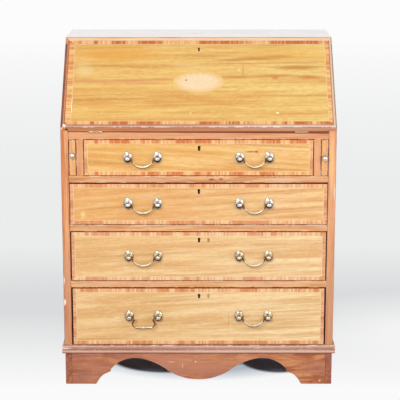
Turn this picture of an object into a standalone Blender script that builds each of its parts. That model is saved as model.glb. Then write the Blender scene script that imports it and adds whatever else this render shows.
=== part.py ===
"""A slant-front bureau desk in satinwood and mahogany, built up from its boards and brass fittings.

Metres, +Z up, the front faces -Y. The origin is on the floor, in the middle of the desk as it
stands with its handles. Inside the bureau's own frame, Y = 0 is the front of the case.
"""
import math

import bmesh
import bpy
from mathutils import Matrix, Vector

# Clearances and cutting
seat_gap = 0.0003
cut_overrun = 0.004
weld_distance = 0.000001
flat_angle = math.radians(0.5)
sharp_angle = math.radians(35)
quarter_turn = math.radians(90)

# The case
case_width = 0.762
case_depth = 0.445
top_depth = 0.221
side_thickness = 0.0215
top_thickness = 0.018
bed_thickness = 0.021
rail_thickness = 0.019
back_thickness = 0.009
back_lap = 0.010
housing_depth = 0.006
housing_setback = 0.015
back_board_count = 4
back_groove_half = 0.003
back_groove_depth = 0.002

# The dividers between the drawers: a front rail, runners, a back rail and a thin dust board
rail_depth = 0.055
runner_width = 0.045
divider_back_rail = 0.040
dust_board = 0.007

# The base, from the floor up
bracket_height = 0.0935
moulding_height = 0.024
moulding_projection = 0.0063
bracket_setback = 0.0015
bracket_thickness = 0.0175
foot_width = 0.0865
foot_curve_reach = 0.0413
moulding_bead = 0.0030
bead_sweep = (-70, 70)
# Shares of the moulding's projection and height: its plain band, and the middles of its two beads.
band_shares = ((0, 0), (0.85, 0), (1.0, 0.06), (1.0, 0.40), (0.60, 0.43))
bead_middle_shares = (0.56, 0.83)
# The sawn curve inside each foot: shares of the curve's reach and of the bracket's height.
foot_curve_shares = ((0, 0), (0.45, 0.273), (1.0, 0.400), (1.065, 0.494))
# The apron from that cusp to the middle of the desk: shares of the run and of the bracket's height.
apron_shares = ((0.090, 0.70), (0.275, 0.828), (0.505, 0.667), (0.755, 0.273), (1.0, 0.144))
# How high the side arch stands in the side bracket: a share of the bracket's height.
side_arch_share = 0.72

# The drawers, top one first
drawer_openings = (0.103, 0.120, 0.1435, 0.169)
drawer_tails = (3, 3, 4, 4)
front_thickness = 0.019
front_gap = 0.0015
# The fronts have shrunk and their runners have worn, so the gaps beside and above them differ.
drawer_side_gaps = (0.0015, 0.0015, 0.0030, 0.0042)
drawer_top_gaps = (0.0015, 0.0035, 0.0020, 0.0030)
drawer_spare = 0.036
drawer_board = 0.009
drawer_bottom = 0.006
drawer_bottom_lift = 0.010
drawer_groove = 0.004
drawer_side_drop = 0.007
runner_gap = 0.0005
side_inset = 0.0006
tail_length = 0.012
tail_slope = 1 / 6
# Half of a tail's narrow end, as a share of the pitch from tail to tail.
tail_root_share = 0.24

# The lopers beside the top drawer
loper_width = 0.0188
loper_gap = 0.0013
loper_spare = 0.096
guide_thickness = 0.0198

# The fall
fall_slope = math.radians(45)
fall_thickness = 0.022
fall_rebate = 0.008
fall_side_gap = 0.0012
fall_top_gap = 0.0015
# How much of each side's slanted edge shows beside the fall, which hangs a little to the right.
left_reveal = 0.0078
right_reveal = 0.0040
hinge_set = 0.0015
leather_margin = 0.052
leather_depth = 0.0012
fall_keyhole_drop = 0.0415

# The keyholes and the fall's lock
keyhole_radius = 0.0024
keyhole_slot = 0.0030
keyhole_height = 0.012
keyhole_depth = 0.013
keyhole_drop = 0.024
lock_width = 0.060
lock_height = 0.034
lock_plate = 0.0018
lock_case_width = 0.044
lock_case_height = 0.026
lock_case_depth = 0.0095
lock_bolt = 0.012

# The hinges of the fall
hinge_inset = 0.0743
hinge_width = 0.036
hinge_leaf_reach = 0.026
hinge_leaf = 0.0016
knuckle_radius = 0.0032
knuckle_length = 0.013
hinge_pin_radius = 0.0014
hinge_play = 0.0004

# The drawer handles
handle_inset = 0.226
post_spacing = 0.082
post_reach = 0.017
ball_radius = 0.0078
neck_radius = 0.0036
rose_width = 0.025
rose_height = 0.0315
rose_dome = 0.0042
# The rose's dome, from its middle out: shares of its half width and of its height.
rose_shares = ((0, 1.0), (0.55, 0.88), (0.82, 0.50), (1.0, 0.30))
shank_radius = 0.0022
nut_radius = 0.0048
nut_thickness = 0.003
pin_radius = 0.0015
pin_depth = 0.005
pin_play = 0.0004
bail_neck = 0.0325
bail_drop = 0.024
bail_neck_bend = 0.003
bail_middle_radius = 0.0026
grip_swell_rate = 1.6
swan_drop = 0.0295
swan_neck = 0.0236
swan_waist = 0.0325
swan_waist_drop = 0.0185
swan_foot = 0.0235
swan_bend = 0.005
swan_lozenge_radius = 0.0033
swan_wire_radius = 0.0017

# The loper knobs
knob_radius = 0.0087
knob_reach = 0.0120
knob_collar_radius = 0.0062
knob_collar = 0.0022
knob_neck_radius = 0.0036
knob_shank_depth = 0.014
# The left knob was once set again, higher than the right one.
left_knob_rise = 0.0083
right_knob_rise = 0.0

# The pigeonhole unit and its small drawers
unit_setback = 0.004
unit_board = 0.008
unit_back = 0.006
bay_count = 6
drawer_bay_count = 2
unit_drawer_height = 0.058
inner_gap = 0.0012
inner_front = 0.010
inner_wall = 0.006
inner_floor = 0.004
inner_drawer_spare = 0.0167
inner_knob_radius = 0.007
inner_knob_reach = 0.011
inner_knob_neck = 0.0034

# How finely round things are made
turn_steps = 10
hole_steps = 8
curve_steps = 5
bend_steps = 3
# Where the first ring of a turned ball lies, in degrees above its widest line.
tip_angle = 65

# Sizes that follow from those above
inner_half = case_width / 2 - side_thickness
back_front = case_depth - back_thickness
floor_level = bracket_height + moulding_height
rail_count = len(drawer_openings) - 1
writing_height = floor_level + sum(drawer_openings) + rail_count * rail_thickness + bed_thickness
corner_height = writing_height + hinge_set * math.tan(fall_slope) + fall_rebate / math.cos(fall_slope)
slant_run = case_depth - top_depth
case_height = corner_height + slant_run * math.tan(fall_slope)
top_under = case_height - top_thickness
front_reach = post_reach + ball_radius
case_front = -(case_depth - front_reach) / 2
loper_pocket = loper_width + 2 * loper_gap
top_drawer_half = inner_half - loper_pocket - guide_thickness
bracket_half = case_width / 2 - bracket_setback
fall_length = (case_height - writing_height - fall_thickness * math.cos(fall_slope)) / math.sin(fall_slope)
fall_left = case_width / 2 - left_reveal
fall_right = case_width / 2 - right_reveal
fall_body_half = inner_half - fall_side_gap
hinge_offset = fall_body_half - hinge_inset
handle_spacing = case_width - 2 * handle_inset
drawer_depth = back_front - drawer_spare
loper_length = back_front - loper_spare
unit_front = slant_run + unit_setback
inner_drawer_depth = back_front - seat_gap - unit_back - unit_front - inner_drawer_spare


def slant_depth(height):
    """How far behind the case front the slanted edge of a side is at a height."""
    return (height - corner_height) / math.tan(fall_slope)


def along_fall(depth, height):
    """The distance up the closed fall, from its hinge, of a point of the case."""
    run = (depth + hinge_set) * math.cos(fall_slope)
    rise = (height - writing_height) * math.sin(fall_slope)
    return run + rise


fall_body_length = along_fall(slant_depth(top_under), top_under) - fall_top_gap

for stale in list(bpy.data.objects):
    bpy.data.objects.remove(stale, do_unlink=True)

parts = bpy.data.collections.new("bureau_desk")
cutters = bpy.data.collections.new("bureau_cutters")
for group in (parts, cutters):
    bpy.context.scene.collection.children.link(group)


def linear(channel):
    """One sRGB channel, from 0 to 1, as the linear value that a shader takes."""
    return channel / 12.92 if channel <= 0.04045 else ((channel + 0.055) / 1.055) ** 2.4


def finish(name, colour, roughness, metallic=0.0):
    """A plain finish from an sRGB colour written as six hex digits."""
    channels = [linear(int(colour[place:place + 2], 16) / 255) for place in (0, 2, 4)]
    made = bpy.data.materials.new(name)
    made.use_nodes = True
    shader = made.node_tree.nodes["Principled BSDF"]
    shader.inputs["Base Color"].default_value = (*channels, 1.0)
    shader.inputs["Roughness"].default_value = roughness
    shader.inputs["Metallic"].default_value = metallic
    return made


satinwood = finish("satinwood", "E3B674", 0.35)
mahogany = finish("mahogany", "C98A58", 0.38)
base_mahogany = finish("base_mahogany", "B0755A", 0.42)
drawer_oak = finish("drawer_oak", "C9A677", 0.6)
inner_mahogany = finish("inner_mahogany", "A66A42", 0.5)
brass = finish("aged_brass", "C9B891", 0.28, 1.0)
hinge_brass = finish("hinge_brass", "C4A66A", 0.35, 1.0)


def frame(name, location, carrier=None, turn=0.0):
    """An empty that carries pieces, turned about its X axis."""
    empty = bpy.data.objects.new(name, None)
    empty.location = location
    empty.rotation_euler = (turn, 0, 0)
    empty.parent = carrier
    parts.objects.link(empty)
    return empty


def stand(name, mesh, carrier, location, look=None):
    """Puts a mesh in the scene: a named piece with a finish, or a cutter without one."""
    piece = bpy.data.objects.new(name, mesh)
    piece.location = location
    piece.parent = carrier
    if look is None:
        piece.hide_render = True
        piece.display_type = "WIRE"
        cutters.objects.link(piece)
    else:
        if not mesh.materials:
            mesh.materials.append(look)
        parts.objects.link(piece)
    return piece


def mesh_from(bm, name):
    mesh = bpy.data.meshes.new(name)
    bmesh.ops.recalc_face_normals(bm, faces=bm.faces)
    bm.to_mesh(mesh)
    bm.free()
    return mesh


def block(name, low, high, carrier, look=None):
    """A rectangular board between two corners, given in its carrier's frame."""
    low, high = Vector(low), Vector(high)
    bm = bmesh.new()
    bmesh.ops.create_cube(bm, size=1)
    bmesh.ops.scale(bm, vec=high - low, verts=bm.verts)
    return stand(name, mesh_from(bm, name), carrier, (low + high) / 2, look)


def rod(name, start, end, radius, carrier, look=None):
    """A round bar between two points."""
    start, end = Vector(start), Vector(end)
    along = end - start
    bm = bmesh.new()
    bmesh.ops.create_cone(
        bm, cap_ends=True, segments=turn_steps, radius1=radius, radius2=radius, depth=along.length
    )
    turn = Vector((0, 0, 1)).rotation_difference(along).to_matrix()
    bmesh.ops.rotate(bm, matrix=turn, verts=bm.verts)
    return stand(name, mesh_from(bm, name), carrier, (start + end) / 2, look)


# The way each outline faces: its first and second directions, and the one it is thick in.
facings = {
    "side": Matrix(((0, 0, 1), (1, 0, 0), (0, 1, 0))).to_4x4(),
    "front": Matrix(((1, 0, 0), (0, 0, -1), (0, 1, 0))).to_4x4(),
    "plan": Matrix.Identity(4),
}


def evaluated_mesh(piece, name):
    """The mesh that a piece's curve or modifiers make."""
    bpy.context.view_layer.update()
    seen = piece.evaluated_get(bpy.context.evaluated_depsgraph_get())
    mesh = bpy.data.meshes.new_from_object(seen)
    mesh.name = name
    return mesh


def sawn(name, outline, faces, start, end, carrier, look=None, smooth=()):
    """A flat outline sawn from a board that lies between start and end in its thickness.

    The numbers in smooth pick the points where the outline runs through in a curve.
    """
    thickness = end - start
    curve = bpy.data.curves.new(name, "CURVE")
    curve.dimensions = "2D"
    curve.fill_mode = "BOTH"
    curve.extrude = thickness / 2
    curve.resolution_u = curve_steps if smooth else 1
    spline = curve.splines.new("BEZIER")
    spline.bezier_points.add(len(outline) - 1)
    spline.use_cyclic_u = True
    for number, (point, (across, up)) in enumerate(zip(spline.bezier_points, outline)):
        point.co = (across, up, 0)
        kind = "AUTO" if number in smooth else "VECTOR"
        point.handle_left_type = kind
        point.handle_right_type = kind
    drawn = bpy.data.objects.new(name, curve)
    cutters.objects.link(drawn)
    mesh = evaluated_mesh(drawn, name)
    bpy.data.objects.remove(drawn)
    bpy.data.curves.remove(curve)
    bm = bmesh.new()
    bm.from_mesh(mesh)
    bmesh.ops.remove_doubles(bm, verts=bm.verts, dist=weld_distance)
    for cap in (-1, 1):
        flat = [face for face in bm.faces if all(corner.co.z * cap > 0 for corner in face.verts)]
        bmesh.ops.dissolve_faces(bm, faces=flat)
    bmesh.ops.dissolve_limit(bm, angle_limit=flat_angle, verts=bm.verts, edges=bm.edges)
    turn = facings[faces]
    bmesh.ops.transform(bm, matrix=turn, verts=bm.verts)
    bm.to_mesh(mesh)
    bm.free()
    middle = turn @ Vector((0, 0, (start + end) / 2))
    if faces == "front":
        middle = -middle
    return stand(name, mesh, carrier, middle, look)


def turned(name, profile, carrier, location, look=None):
    """A profile of (radius, reach) points turned about the axis that points forward, tip first."""
    bm = bmesh.new()
    rim = [bm.verts.new((radius, 0, reach)) for radius, reach in profile]
    for upper, lower in zip(rim, rim[1:]):
        bm.edges.new((upper, lower))
    mesh = bpy.data.meshes.new(name)
    bm.to_mesh(mesh)
    bm.free()
    piece = stand(name, mesh, carrier, location, look)
    piece.rotation_euler = (quarter_turn, 0, 0)
    screw = piece.modifiers.new("turning", "SCREW")
    screw.steps = turn_steps
    screw.render_steps = turn_steps
    screw.use_merge_vertices = True
    screw.merge_threshold = weld_distance
    return piece


def carve(piece, tool, operation="DIFFERENCE"):
    """Cuts a tool out of a piece, or joins it on."""
    boolean = piece.modifiers.new(tool.name, "BOOLEAN")
    boolean.operation = operation
    boolean.object = tool
    return piece


def glue(piece, other):
    """Joins a second shape to a piece, so that both are one solid."""
    return carve(piece, other, "UNION")


def arc(centre, radius, first, last, steps):
    """Points of an arc between two angles in degrees."""
    turns = [math.radians(first + (last - first) * step / steps) for step in range(steps + 1)]
    return [(centre[0] + radius * math.cos(turn), centre[1] + radius * math.sin(turn)) for turn in turns]


def mirrored(half):
    """A left half outline and its mirror image on the right."""
    return half + [(-across, up) for across, up in reversed(half) if abs(across) > weld_distance]


bureau = frame("bureau", (0, case_front, 0))


def level_of_openings():
    """The lower and upper level of each drawer's opening, top one first."""
    levels = []
    top = writing_height - bed_thickness
    for height in drawer_openings:
        levels.append((top - height, top))
        top -= height + rail_thickness
    return levels


opening_levels = level_of_openings()


def housed_board(name, low, high):
    """A board that fills the case from side to side and is housed in both sides behind its front edge."""
    front_half = inner_half - seat_gap
    housed_half = front_half + housing_depth
    back = back_front - seat_gap
    corner = housing_setback + seat_gap
    left = [(-housed_half, back), (-housed_half, corner), (-front_half, corner), (-front_half, 0)]
    return sawn(name, mirrored(left), "plan", low, high, bureau, mahogany)


def make_side(name, hand):
    """A side: one wide board with the slant sawn off, housings for the boards and a rebate for the back."""
    top = top_under - seat_gap
    outline = [
        (0, bracket_height),
        (0, corner_height),
        (slant_depth(top), top),
        (case_depth, top),
        (case_depth, bracket_height),
    ]
    outer = hand * case_width / 2
    inner = hand * inner_half
    side = sawn(name, outline, "side", min(inner, outer), max(inner, outer), bureau, mahogany)
    boards = [(floor_level - moulding_height, floor_level)]
    boards += [(writing_height - bed_thickness, writing_height)]
    boards += [(low - rail_thickness, low) for low, high in opening_levels[:-1]]
    for number, (low, high) in enumerate(boards):
        across = sorted((inner - hand * cut_overrun, inner + hand * (housing_depth + seat_gap)))
        housing = block(
            f"{name}_housing_{number}",
            (across[0], housing_setback, low - seat_gap),
            (across[1], case_depth + cut_overrun, high + seat_gap),
            bureau,
        )
        carve(side, housing)
    across = sorted((inner - hand * cut_overrun, inner + hand * (back_lap + seat_gap)))
    rebate = block(
        f"{name}_rebate",
        (across[0], back_front - seat_gap, floor_level - moulding_height - seat_gap),
        (across[1], case_depth + cut_overrun, case_height),
        bureau,
    )
    return carve(side, rebate)


def make_top():
    """The top board, bevelled to the slant in front and rebated for the back behind."""
    half = case_width / 2
    rebate = back_front - seat_gap
    lap = top_under + top_thickness / 2
    outline = [
        (slant_depth(top_under), top_under),
        (rebate, top_under),
        (rebate, lap),
        (case_depth, lap),
        (case_depth, case_height),
        (slant_run, case_height),
    ]
    return sawn("top_board", outline, "side", -half, half, bureau, mahogany)


def make_back():
    """The back: upright boards with a groove at each joint, seen from behind."""
    half = inner_half + back_lap - seat_gap
    outline = [(-half, back_front), (-half, case_depth)]
    for joint in range(1, back_board_count):
        middle = -half + 2 * half * joint / back_board_count
        outline += [
            (middle - back_groove_half, case_depth),
            (middle, case_depth - back_groove_depth),
            (middle + back_groove_half, case_depth),
        ]
    outline += [(half, case_depth), (half, back_front)]
    top = top_under + top_thickness / 2 - seat_gap
    return sawn("back_panel", outline, "plan", floor_level - moulding_height, top, bureau, drawer_oak)


def make_divider(number, low):
    """A divider: front rail and runners in one frame round a thinner dust board."""
    name = f"divider_{number}"
    divider = housed_board(name, low - rail_thickness, low)
    spare = (rail_thickness - dust_board) / 2
    half = inner_half - runner_width
    for side, bottom, top in (
        ("upper", low - spare, low + cut_overrun),
        ("lower", low - rail_thickness - cut_overrun, low - rail_thickness + spare),
    ):
        recess = block(
            f"{name}_{side}_recess",
            (-half, rail_depth, bottom),
            (half, back_front - divider_back_rail, top),
            bureau,
        )
        carve(divider, recess)
    return divider


def make_loper_guide(name, hand):
    """The partition that closes the top drawer's opening and guides a loper."""
    inner = hand * top_drawer_half
    outer = hand * (top_drawer_half + guide_thickness)
    low, high = opening_levels[0]
    return block(
        name,
        (min(inner, outer), 0, low + seat_gap),
        (max(inner, outer), back_front - seat_gap, high - seat_gap),
        bureau,
        mahogany,
    )


def make_carcass():
    make_side("side_left", -1)
    make_side("side_right", 1)
    make_top()
    make_back()
    housed_board("bottom_board", floor_level - moulding_height, floor_level)
    bed = housed_board("writing_bed", writing_height - bed_thickness, writing_height)
    for number, (low, high) in enumerate(opening_levels[:-1], 1):
        make_divider(number, low)
    make_loper_guide("loper_guide_left", -1)
    make_loper_guide("loper_guide_right", 1)
    return bed


def bridged(name, rings, carrier, look):
    """A solid lofted through rings of points, closed at both ends."""
    bm = bmesh.new()
    loops = []
    for ring in rings:
        corners = [bm.verts.new(point) for point in ring]
        loops.append([bm.edges.new((corners[index - 1], corners[index])) for index in range(len(corners))])
    for first, second in zip(loops, loops[1:]):
        bmesh.ops.bridge_loops(bm, edges=first + second)
    for end in (loops[0], loops[-1]):
        bmesh.ops.contextual_create(bm, geom=end)
    return stand(name, mesh_from(bm, name), carrier, (0, 0, 0), look)


def make_base_moulding():
    """The base moulding: two beads over a plain band, mitred at the front corners."""
    neck = moulding_projection - moulding_bead
    profile = [(moulding_projection * out, moulding_height * up) for out, up in band_shares]
    for share in bead_middle_shares:
        profile += arc((neck, moulding_height * share), moulding_bead, *bead_sweep, curve_steps)
    profile += [(neck, moulding_height), (0, moulding_height)]
    half = case_width / 2 + seat_gap
    rings = []
    for hand, mitre in ((-1, False), (-1, True), (1, True), (1, False)):
        ring = []
        for out, up in profile:
            depth = -seat_gap - out if mitre else case_depth
            ring.append((hand * (half + out), depth, bracket_height + up))
        rings.append(ring)
    return bridged("base_moulding", rings, bureau, base_mahogany)


def foot_curve(toe, direction):
    """The curve from a foot's toe up to the cusp, in a direction along the board."""
    reach = direction * foot_curve_reach
    return [(toe + reach * along, bracket_height * up) for along, up in foot_curve_shares]


def make_apron():
    """The front apron: two arches and a drop in the middle, sawn from one board."""
    half = bracket_half - bracket_thickness - seat_gap
    toe = -(bracket_half - foot_width)
    top = bracket_height - seat_gap
    left = [(-half, top), (-half, 0)] + foot_curve(toe, 1)
    cusp = left[-1][0]
    left += [(cusp - cusp * along, bracket_height * up) for along, up in apron_shares]
    outline = mirrored(left)
    curved = [number for number, (across, up) in enumerate(outline) if 0 < up < top]
    cusps = (4, 5, len(outline) - 5, len(outline) - 6)
    smooth = [number for number in curved if number not in cusps]
    return sawn("front_apron", outline, "front", 0, bracket_thickness, bureau, base_mahogany, smooth)


def make_side_bracket(name, hand):
    """A side bracket: a foot at each end, an arch between, and a brace across the rear foot."""
    top = bracket_height - seat_gap
    front = foot_curve(foot_width, 1)
    rear = foot_curve(case_depth - foot_width, -1)
    arch_end = foot_curve_reach * 2
    outline = [(0, top), (0, 0)] + front
    outline += [(foot_width + arch_end, bracket_height * side_arch_share)]
    outline += [(case_depth - foot_width - arch_end, bracket_height * side_arch_share)]
    outline += list(reversed(rear)) + [(case_depth, 0), (case_depth, top)]
    outer = hand * bracket_half
    inner = hand * (bracket_half - bracket_thickness)
    low, high = sorted((outer, inner))
    side = sawn(name, outline, "side", low, high, bureau, base_mahogany, (3, 6, 7, 10))
    brace_outline = [(outer - hand * bracket_thickness / 2, top), (outer - hand * bracket_thickness / 2, 0)]
    brace_outline += foot_curve(hand * (bracket_half - foot_width), -hand)
    brace_outline += [(brace_outline[-1][0], top)]
    brace_front = case_depth - bracket_thickness
    brace = sawn(f"{name}_brace", brace_outline, "front", brace_front, case_depth, bureau, None, (3,))
    return glue(side, brace)


def keyhole_outline(across, middle):
    """A keyhole: a round head over a straight slot."""
    half = keyhole_slot / 2
    meet = math.degrees(math.asin(half / keyhole_radius))
    head = (across, middle + keyhole_height / 2 - keyhole_radius)
    points = arc(head, keyhole_radius, -90 + meet, 270 - meet, hole_steps)
    foot = middle - keyhole_height / 2
    return points + [(across - half, foot), (across + half, foot)]


def bent(corners, bends):
    """A path along straight runs between corners, each inner corner rounded to its bend radius."""
    path = [Vector(corners[0])]
    for before, corner, after, radius in zip(corners, corners[1:], corners[2:], bends):
        corner = Vector(corner)
        inward = (Vector(before) - corner).normalized()
        outward = (Vector(after) - corner).normalized()
        half_angle = inward.angle(outward) / 2
        reach = radius / math.tan(half_angle)
        centre = corner + (inward + outward).normalized() * radius / math.sin(half_angle)
        start = corner + inward * reach - centre
        end = corner + outward * reach - centre
        sweep = start.angle(end)
        axis = start.cross(end)
        for step in range(bend_steps + 1):
            path.append(centre + Matrix.Rotation(sweep * step / bend_steps, 3, axis) @ start)
    path.append(Vector(corners[-1]))
    return path


def wire(name, path, radii, carrier, location, look):
    """A round wire along a path, with its own radius at each point."""
    curve = bpy.data.curves.new(name, "CURVE")
    curve.dimensions = "3D"
    curve.bevel_depth = 1.0
    curve.bevel_resolution = 2
    curve.use_fill_caps = True
    spline = curve.splines.new("POLY")
    spline.points.add(len(path) - 1)
    for point, place, radius in zip(spline.points, path, radii):
        point.co = (*place, 1)
        point.radius = radius
    curve.materials.append(look)
    made = bpy.data.objects.new(name, curve)
    made.location = location
    made.parent = carrier
    parts.objects.link(made)
    return made


def arched_half(pin_end):
    """Half of a plain bail: the pin, a tight bend, then an arc down to the middle of the grip."""
    radius = (bail_neck ** 2 + bail_drop ** 2) / (2 * bail_drop)
    reach = math.degrees(math.asin(bail_neck / radius))
    points = arc((0, radius - bail_drop), radius, -90 - reach, -90, curve_steps)
    grip = [Vector((across, 0, up)) for across, up in points]
    return bent([(-pin_end, 0, 0), *grip[:2]], (bail_neck_bend,)) + grip[2:]


def swan_half(pin_end):
    """Half of a swan-necked bail: the pin, a neck, a waist, a foot and a lozenge in the grip."""
    corners = [(-pin_end, 0, 0), (-swan_neck, 0, 0), (-swan_waist, 0, -swan_waist_drop)]
    corners += [(-swan_foot, 0, -swan_drop), (0, 0, -swan_drop)]
    half = bent(corners, (bail_neck_bend, swan_bend, swan_bend))
    half.insert(-1, Vector((-swan_bend, 0, -swan_drop)))
    return half


def make_bail(name, carrier, location, swan=False):
    """A swinging bail, arched or swan-necked, thickest in the middle of its grip."""
    pin_end = post_spacing / 2 - ball_radius + pin_depth
    left = swan_half(pin_end) if swan else arched_half(pin_end)
    thin, middle, wide = pin_radius, bail_middle_radius, bail_neck
    if swan:
        thin, middle, wide = swan_wire_radius, swan_lozenge_radius, swan_bend
    path = left + [Vector((-place.x, place.y, place.z)) for place in reversed(left[:-1])]
    radii = []
    for place in path:
        share = max(0.0, 1 - abs(place.x) / wide)
        thick = thin + (middle - thin) * min(1.0, share * grip_swell_rate)
        radii.append(pin_radius if abs(place.x) > pin_end - pin_depth else thick)
    return wire(name, path, radii, carrier, location, brass)


def make_post_mesh():
    """The mesh of one post: ball, neck, domed oval rose, bolt and nut, with the hole for the bail's pin."""
    neck_meet = math.degrees(math.asin(neck_radius / ball_radius))
    ball = [(0, post_reach + ball_radius)]
    ball += arc((0, post_reach), ball_radius, tip_angle, -90 + neck_meet, curve_steps)
    shank = front_thickness + seat_gap
    profile = ball + [
        (neck_radius, rose_dome / 2),
        (shank_radius, rose_dome / 2),
        (shank_radius, -shank),
        (nut_radius, -shank),
        (nut_radius, -shank - nut_thickness),
        (0, -shank - nut_thickness),
    ]
    bolt = turned("post_bolt", profile, None, (0, 0, 0), brass)
    half = rose_width / 2
    rose_profile = [(half * out, rose_dome * up) for out, up in rose_shares]
    rose_profile += [(half, seat_gap), (0, seat_gap)]
    rose = turned("post_rose", rose_profile, None, (0, 0, 0))
    rose.scale = (1, rose_height / rose_width, 1)
    glue(bolt, rose)
    hole = rod(
        "post_hole",
        (ball_radius - pin_depth - pin_play, -post_reach, 0),
        (ball_radius + cut_overrun, -post_reach, 0),
        pin_radius + pin_play,
        None,
    )
    carve(bolt, hole)
    mesh = evaluated_mesh(bolt, "handle_post")
    mesh.transform(bolt.matrix_world)
    for tool in (bolt, rose, hole):
        bpy.data.objects.remove(tool)
    mesh.shade_smooth()
    mesh.set_sharp_from_angle(angle=sharp_angle)
    return mesh


post_mesh = make_post_mesh()


def drill(name, holes, radius, length, carrier):
    """A cutter for a row of holes through a front: one cylinder at each place."""
    bm = bmesh.new()
    for across, up in holes:
        turn = Matrix.Translation((across, length / 2, up)) @ Matrix.Rotation(quarter_turn, 4, "X")
        bmesh.ops.create_cone(
            bm,
            cap_ends=True,
            segments=hole_steps,
            radius1=radius,
            radius2=radius,
            depth=length + 2 * cut_overrun,
            matrix=turn,
        )
    return stand(name, mesh_from(bm, name), carrier, (0, 0, 0))


def dovetails(low, high, count, shoulder, tip, grow):
    """The front edge of a drawer side, going down: tails that widen towards their tips."""
    pitch = (high - low) / count
    root = pitch * tail_root_share + grow
    spread = (shoulder - tip) * tail_slope
    points = []
    for tail in range(count):
        middle = high - pitch * (tail + 1 / 2)
        points += [
            (shoulder, middle + root),
            (tip, middle + root + spread),
            (tip, middle - root - spread),
            (shoulder, middle - root),
        ]
    return points


def make_drawer(number, low, high, opening_half):
    """A long drawer: a front with handles, and a dovetailed box behind it."""
    carrier = frame(f"drawer_{number}_slide", (0, 0, low), bureau)
    height = high - low
    half = opening_half - drawer_side_gaps[number - 1]
    front = block(
        f"drawer_front_{number}",
        (-half, 0, front_gap),
        (half, front_thickness, height - drawer_top_gaps[number - 1]),
        carrier,
        satinwood,
    )
    outer = half - side_inset
    inner = outer - drawer_board
    side_low = runner_gap + front_gap
    side_high = height - drawer_side_drop
    shoulder = front_thickness + seat_gap
    tip = front_thickness - tail_length
    tails = drawer_tails[number - 1]
    outline = [(drawer_depth, side_low), (drawer_depth, side_high), (shoulder, side_high)]
    outline += dovetails(side_low, side_high, tails, shoulder, tip, 0)
    outline += [(shoulder, side_low)]
    socket_back = front_thickness + cut_overrun
    narrower = (socket_back - shoulder) * tail_slope
    socket = [(socket_back + cut_overrun, side_high), (socket_back, side_high)]
    socket += dovetails(side_low, side_high, tails, socket_back, tip - seat_gap, seat_gap - narrower)
    socket += [(socket_back, side_low), (socket_back + cut_overrun, side_low)]
    box = sawn(f"drawer_box_{number}", outline, "side", -outer, -inner, carrier, drawer_oak)
    right = sawn(f"drawer_box_{number}_right", outline, "side", inner, outer, carrier)
    glue(box, right)
    bottom = drawer_bottom_lift
    tongue = inner + drawer_groove
    glue(box, block(
        f"drawer_box_{number}_back",
        (-tongue, drawer_depth - drawer_board, bottom + drawer_bottom / 2),
        (tongue, drawer_depth - seat_gap, side_high - drawer_side_drop),
        carrier,
    ))
    glue(box, block(
        f"drawer_box_{number}_bottom",
        (-tongue, shoulder + seat_gap, bottom),
        (tongue, drawer_depth - drawer_board / 2, bottom + drawer_bottom),
        carrier,
    ))
    for hand in (-1, 1):
        ends = sorted((hand * (inner - seat_gap), hand * (half + cut_overrun)))
        carve(front, sawn(f"drawer_front_{number}_sockets_{hand}", socket, "side", *ends, carrier))
    middle = height / 2
    centres = [hand * handle_spacing / 2 for hand in (-1, 1)]
    posts = [(centre + hand * post_spacing / 2, hand) for centre in centres for hand in (-1, 1)]
    holes = [(across, middle) for across, hand in posts]
    hole_radius = shank_radius + seat_gap
    carve(front, drill(f"drawer_front_{number}_holes", holes, hole_radius, front_thickness, carrier))
    key = keyhole_outline(0, height - front_gap - keyhole_drop)
    carve(front, sawn(f"drawer_front_{number}_keyhole", key, "front", -cut_overrun, keyhole_depth, carrier))
    for index, (across, hand) in enumerate(posts, 1):
        post = stand(f"handle_post_{number}_{index}", post_mesh, carrier, (across, 0, middle), brass)
        post.rotation_euler = (0, 0 if hand < 0 else math.radians(180), 0)
    for centre, side in zip(centres, ("left", "right")):
        swan = number == len(drawer_openings) and side == "left"
        make_bail(f"bail_{number}_{side}", carrier, (centre, -post_reach, middle), swan)


def make_drawers():
    for number, (low, high) in enumerate(opening_levels, 1):
        make_drawer(number, low, high, top_drawer_half if number == 1 else inner_half)


def make_loper(side, hand, knob_rise):
    """A loper: the pull-out support of the open fall, with its brass knob."""
    low, high = opening_levels[0]
    middle = hand * (inner_half - loper_pocket / 2)
    carrier = frame(f"loper_{side}_slide", (middle, 0, low), bureau)
    height = high - low
    knob_level = height / 2 + knob_rise
    half = loper_width / 2
    loper = block(
        f"loper_{side}",
        (-half, 0, runner_gap),
        (half, loper_length, height - front_gap + seat_gap),
        carrier,
        mahogany,
    )
    neck_meet = math.degrees(math.asin(knob_neck_radius / knob_radius))
    profile = [(0, knob_reach + knob_radius)]
    profile += arc((0, knob_reach), knob_radius, tip_angle, -90 + neck_meet, curve_steps)
    profile += [
        (knob_collar_radius, knob_collar),
        (knob_collar_radius, seat_gap),
        (shank_radius, seat_gap),
        (shank_radius, -knob_shank_depth),
        (0, -knob_shank_depth),
    ]
    turned(f"loper_knob_{side}", profile, carrier, (0, 0, knob_level), brass)
    hole = rod(
        f"loper_{side}_hole",
        (0, -cut_overrun, knob_level),
        (0, knob_shank_depth + seat_gap, knob_level),
        shank_radius + seat_gap,
        carrier,
    )
    return carve(loper, hole)


def leaf_outline(knuckles):
    """A hinge leaf seen flat: a plate with a tab up to the pin for each of its knuckles."""
    clear = knuckle_radius + hinge_play
    half = hinge_width / 2
    outline = [(-half, hinge_leaf_reach)]
    edge = -half
    for start, end in knuckles:
        if start > edge + seat_gap:
            outline += [(edge, clear), (start, clear)]
        outline += [(start, 0), (end, 0)]
        edge = end
    if edge < half - seat_gap:
        outline += [(edge, clear), (half, clear)]
    outline += [(half, hinge_leaf_reach)]
    return outline


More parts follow.
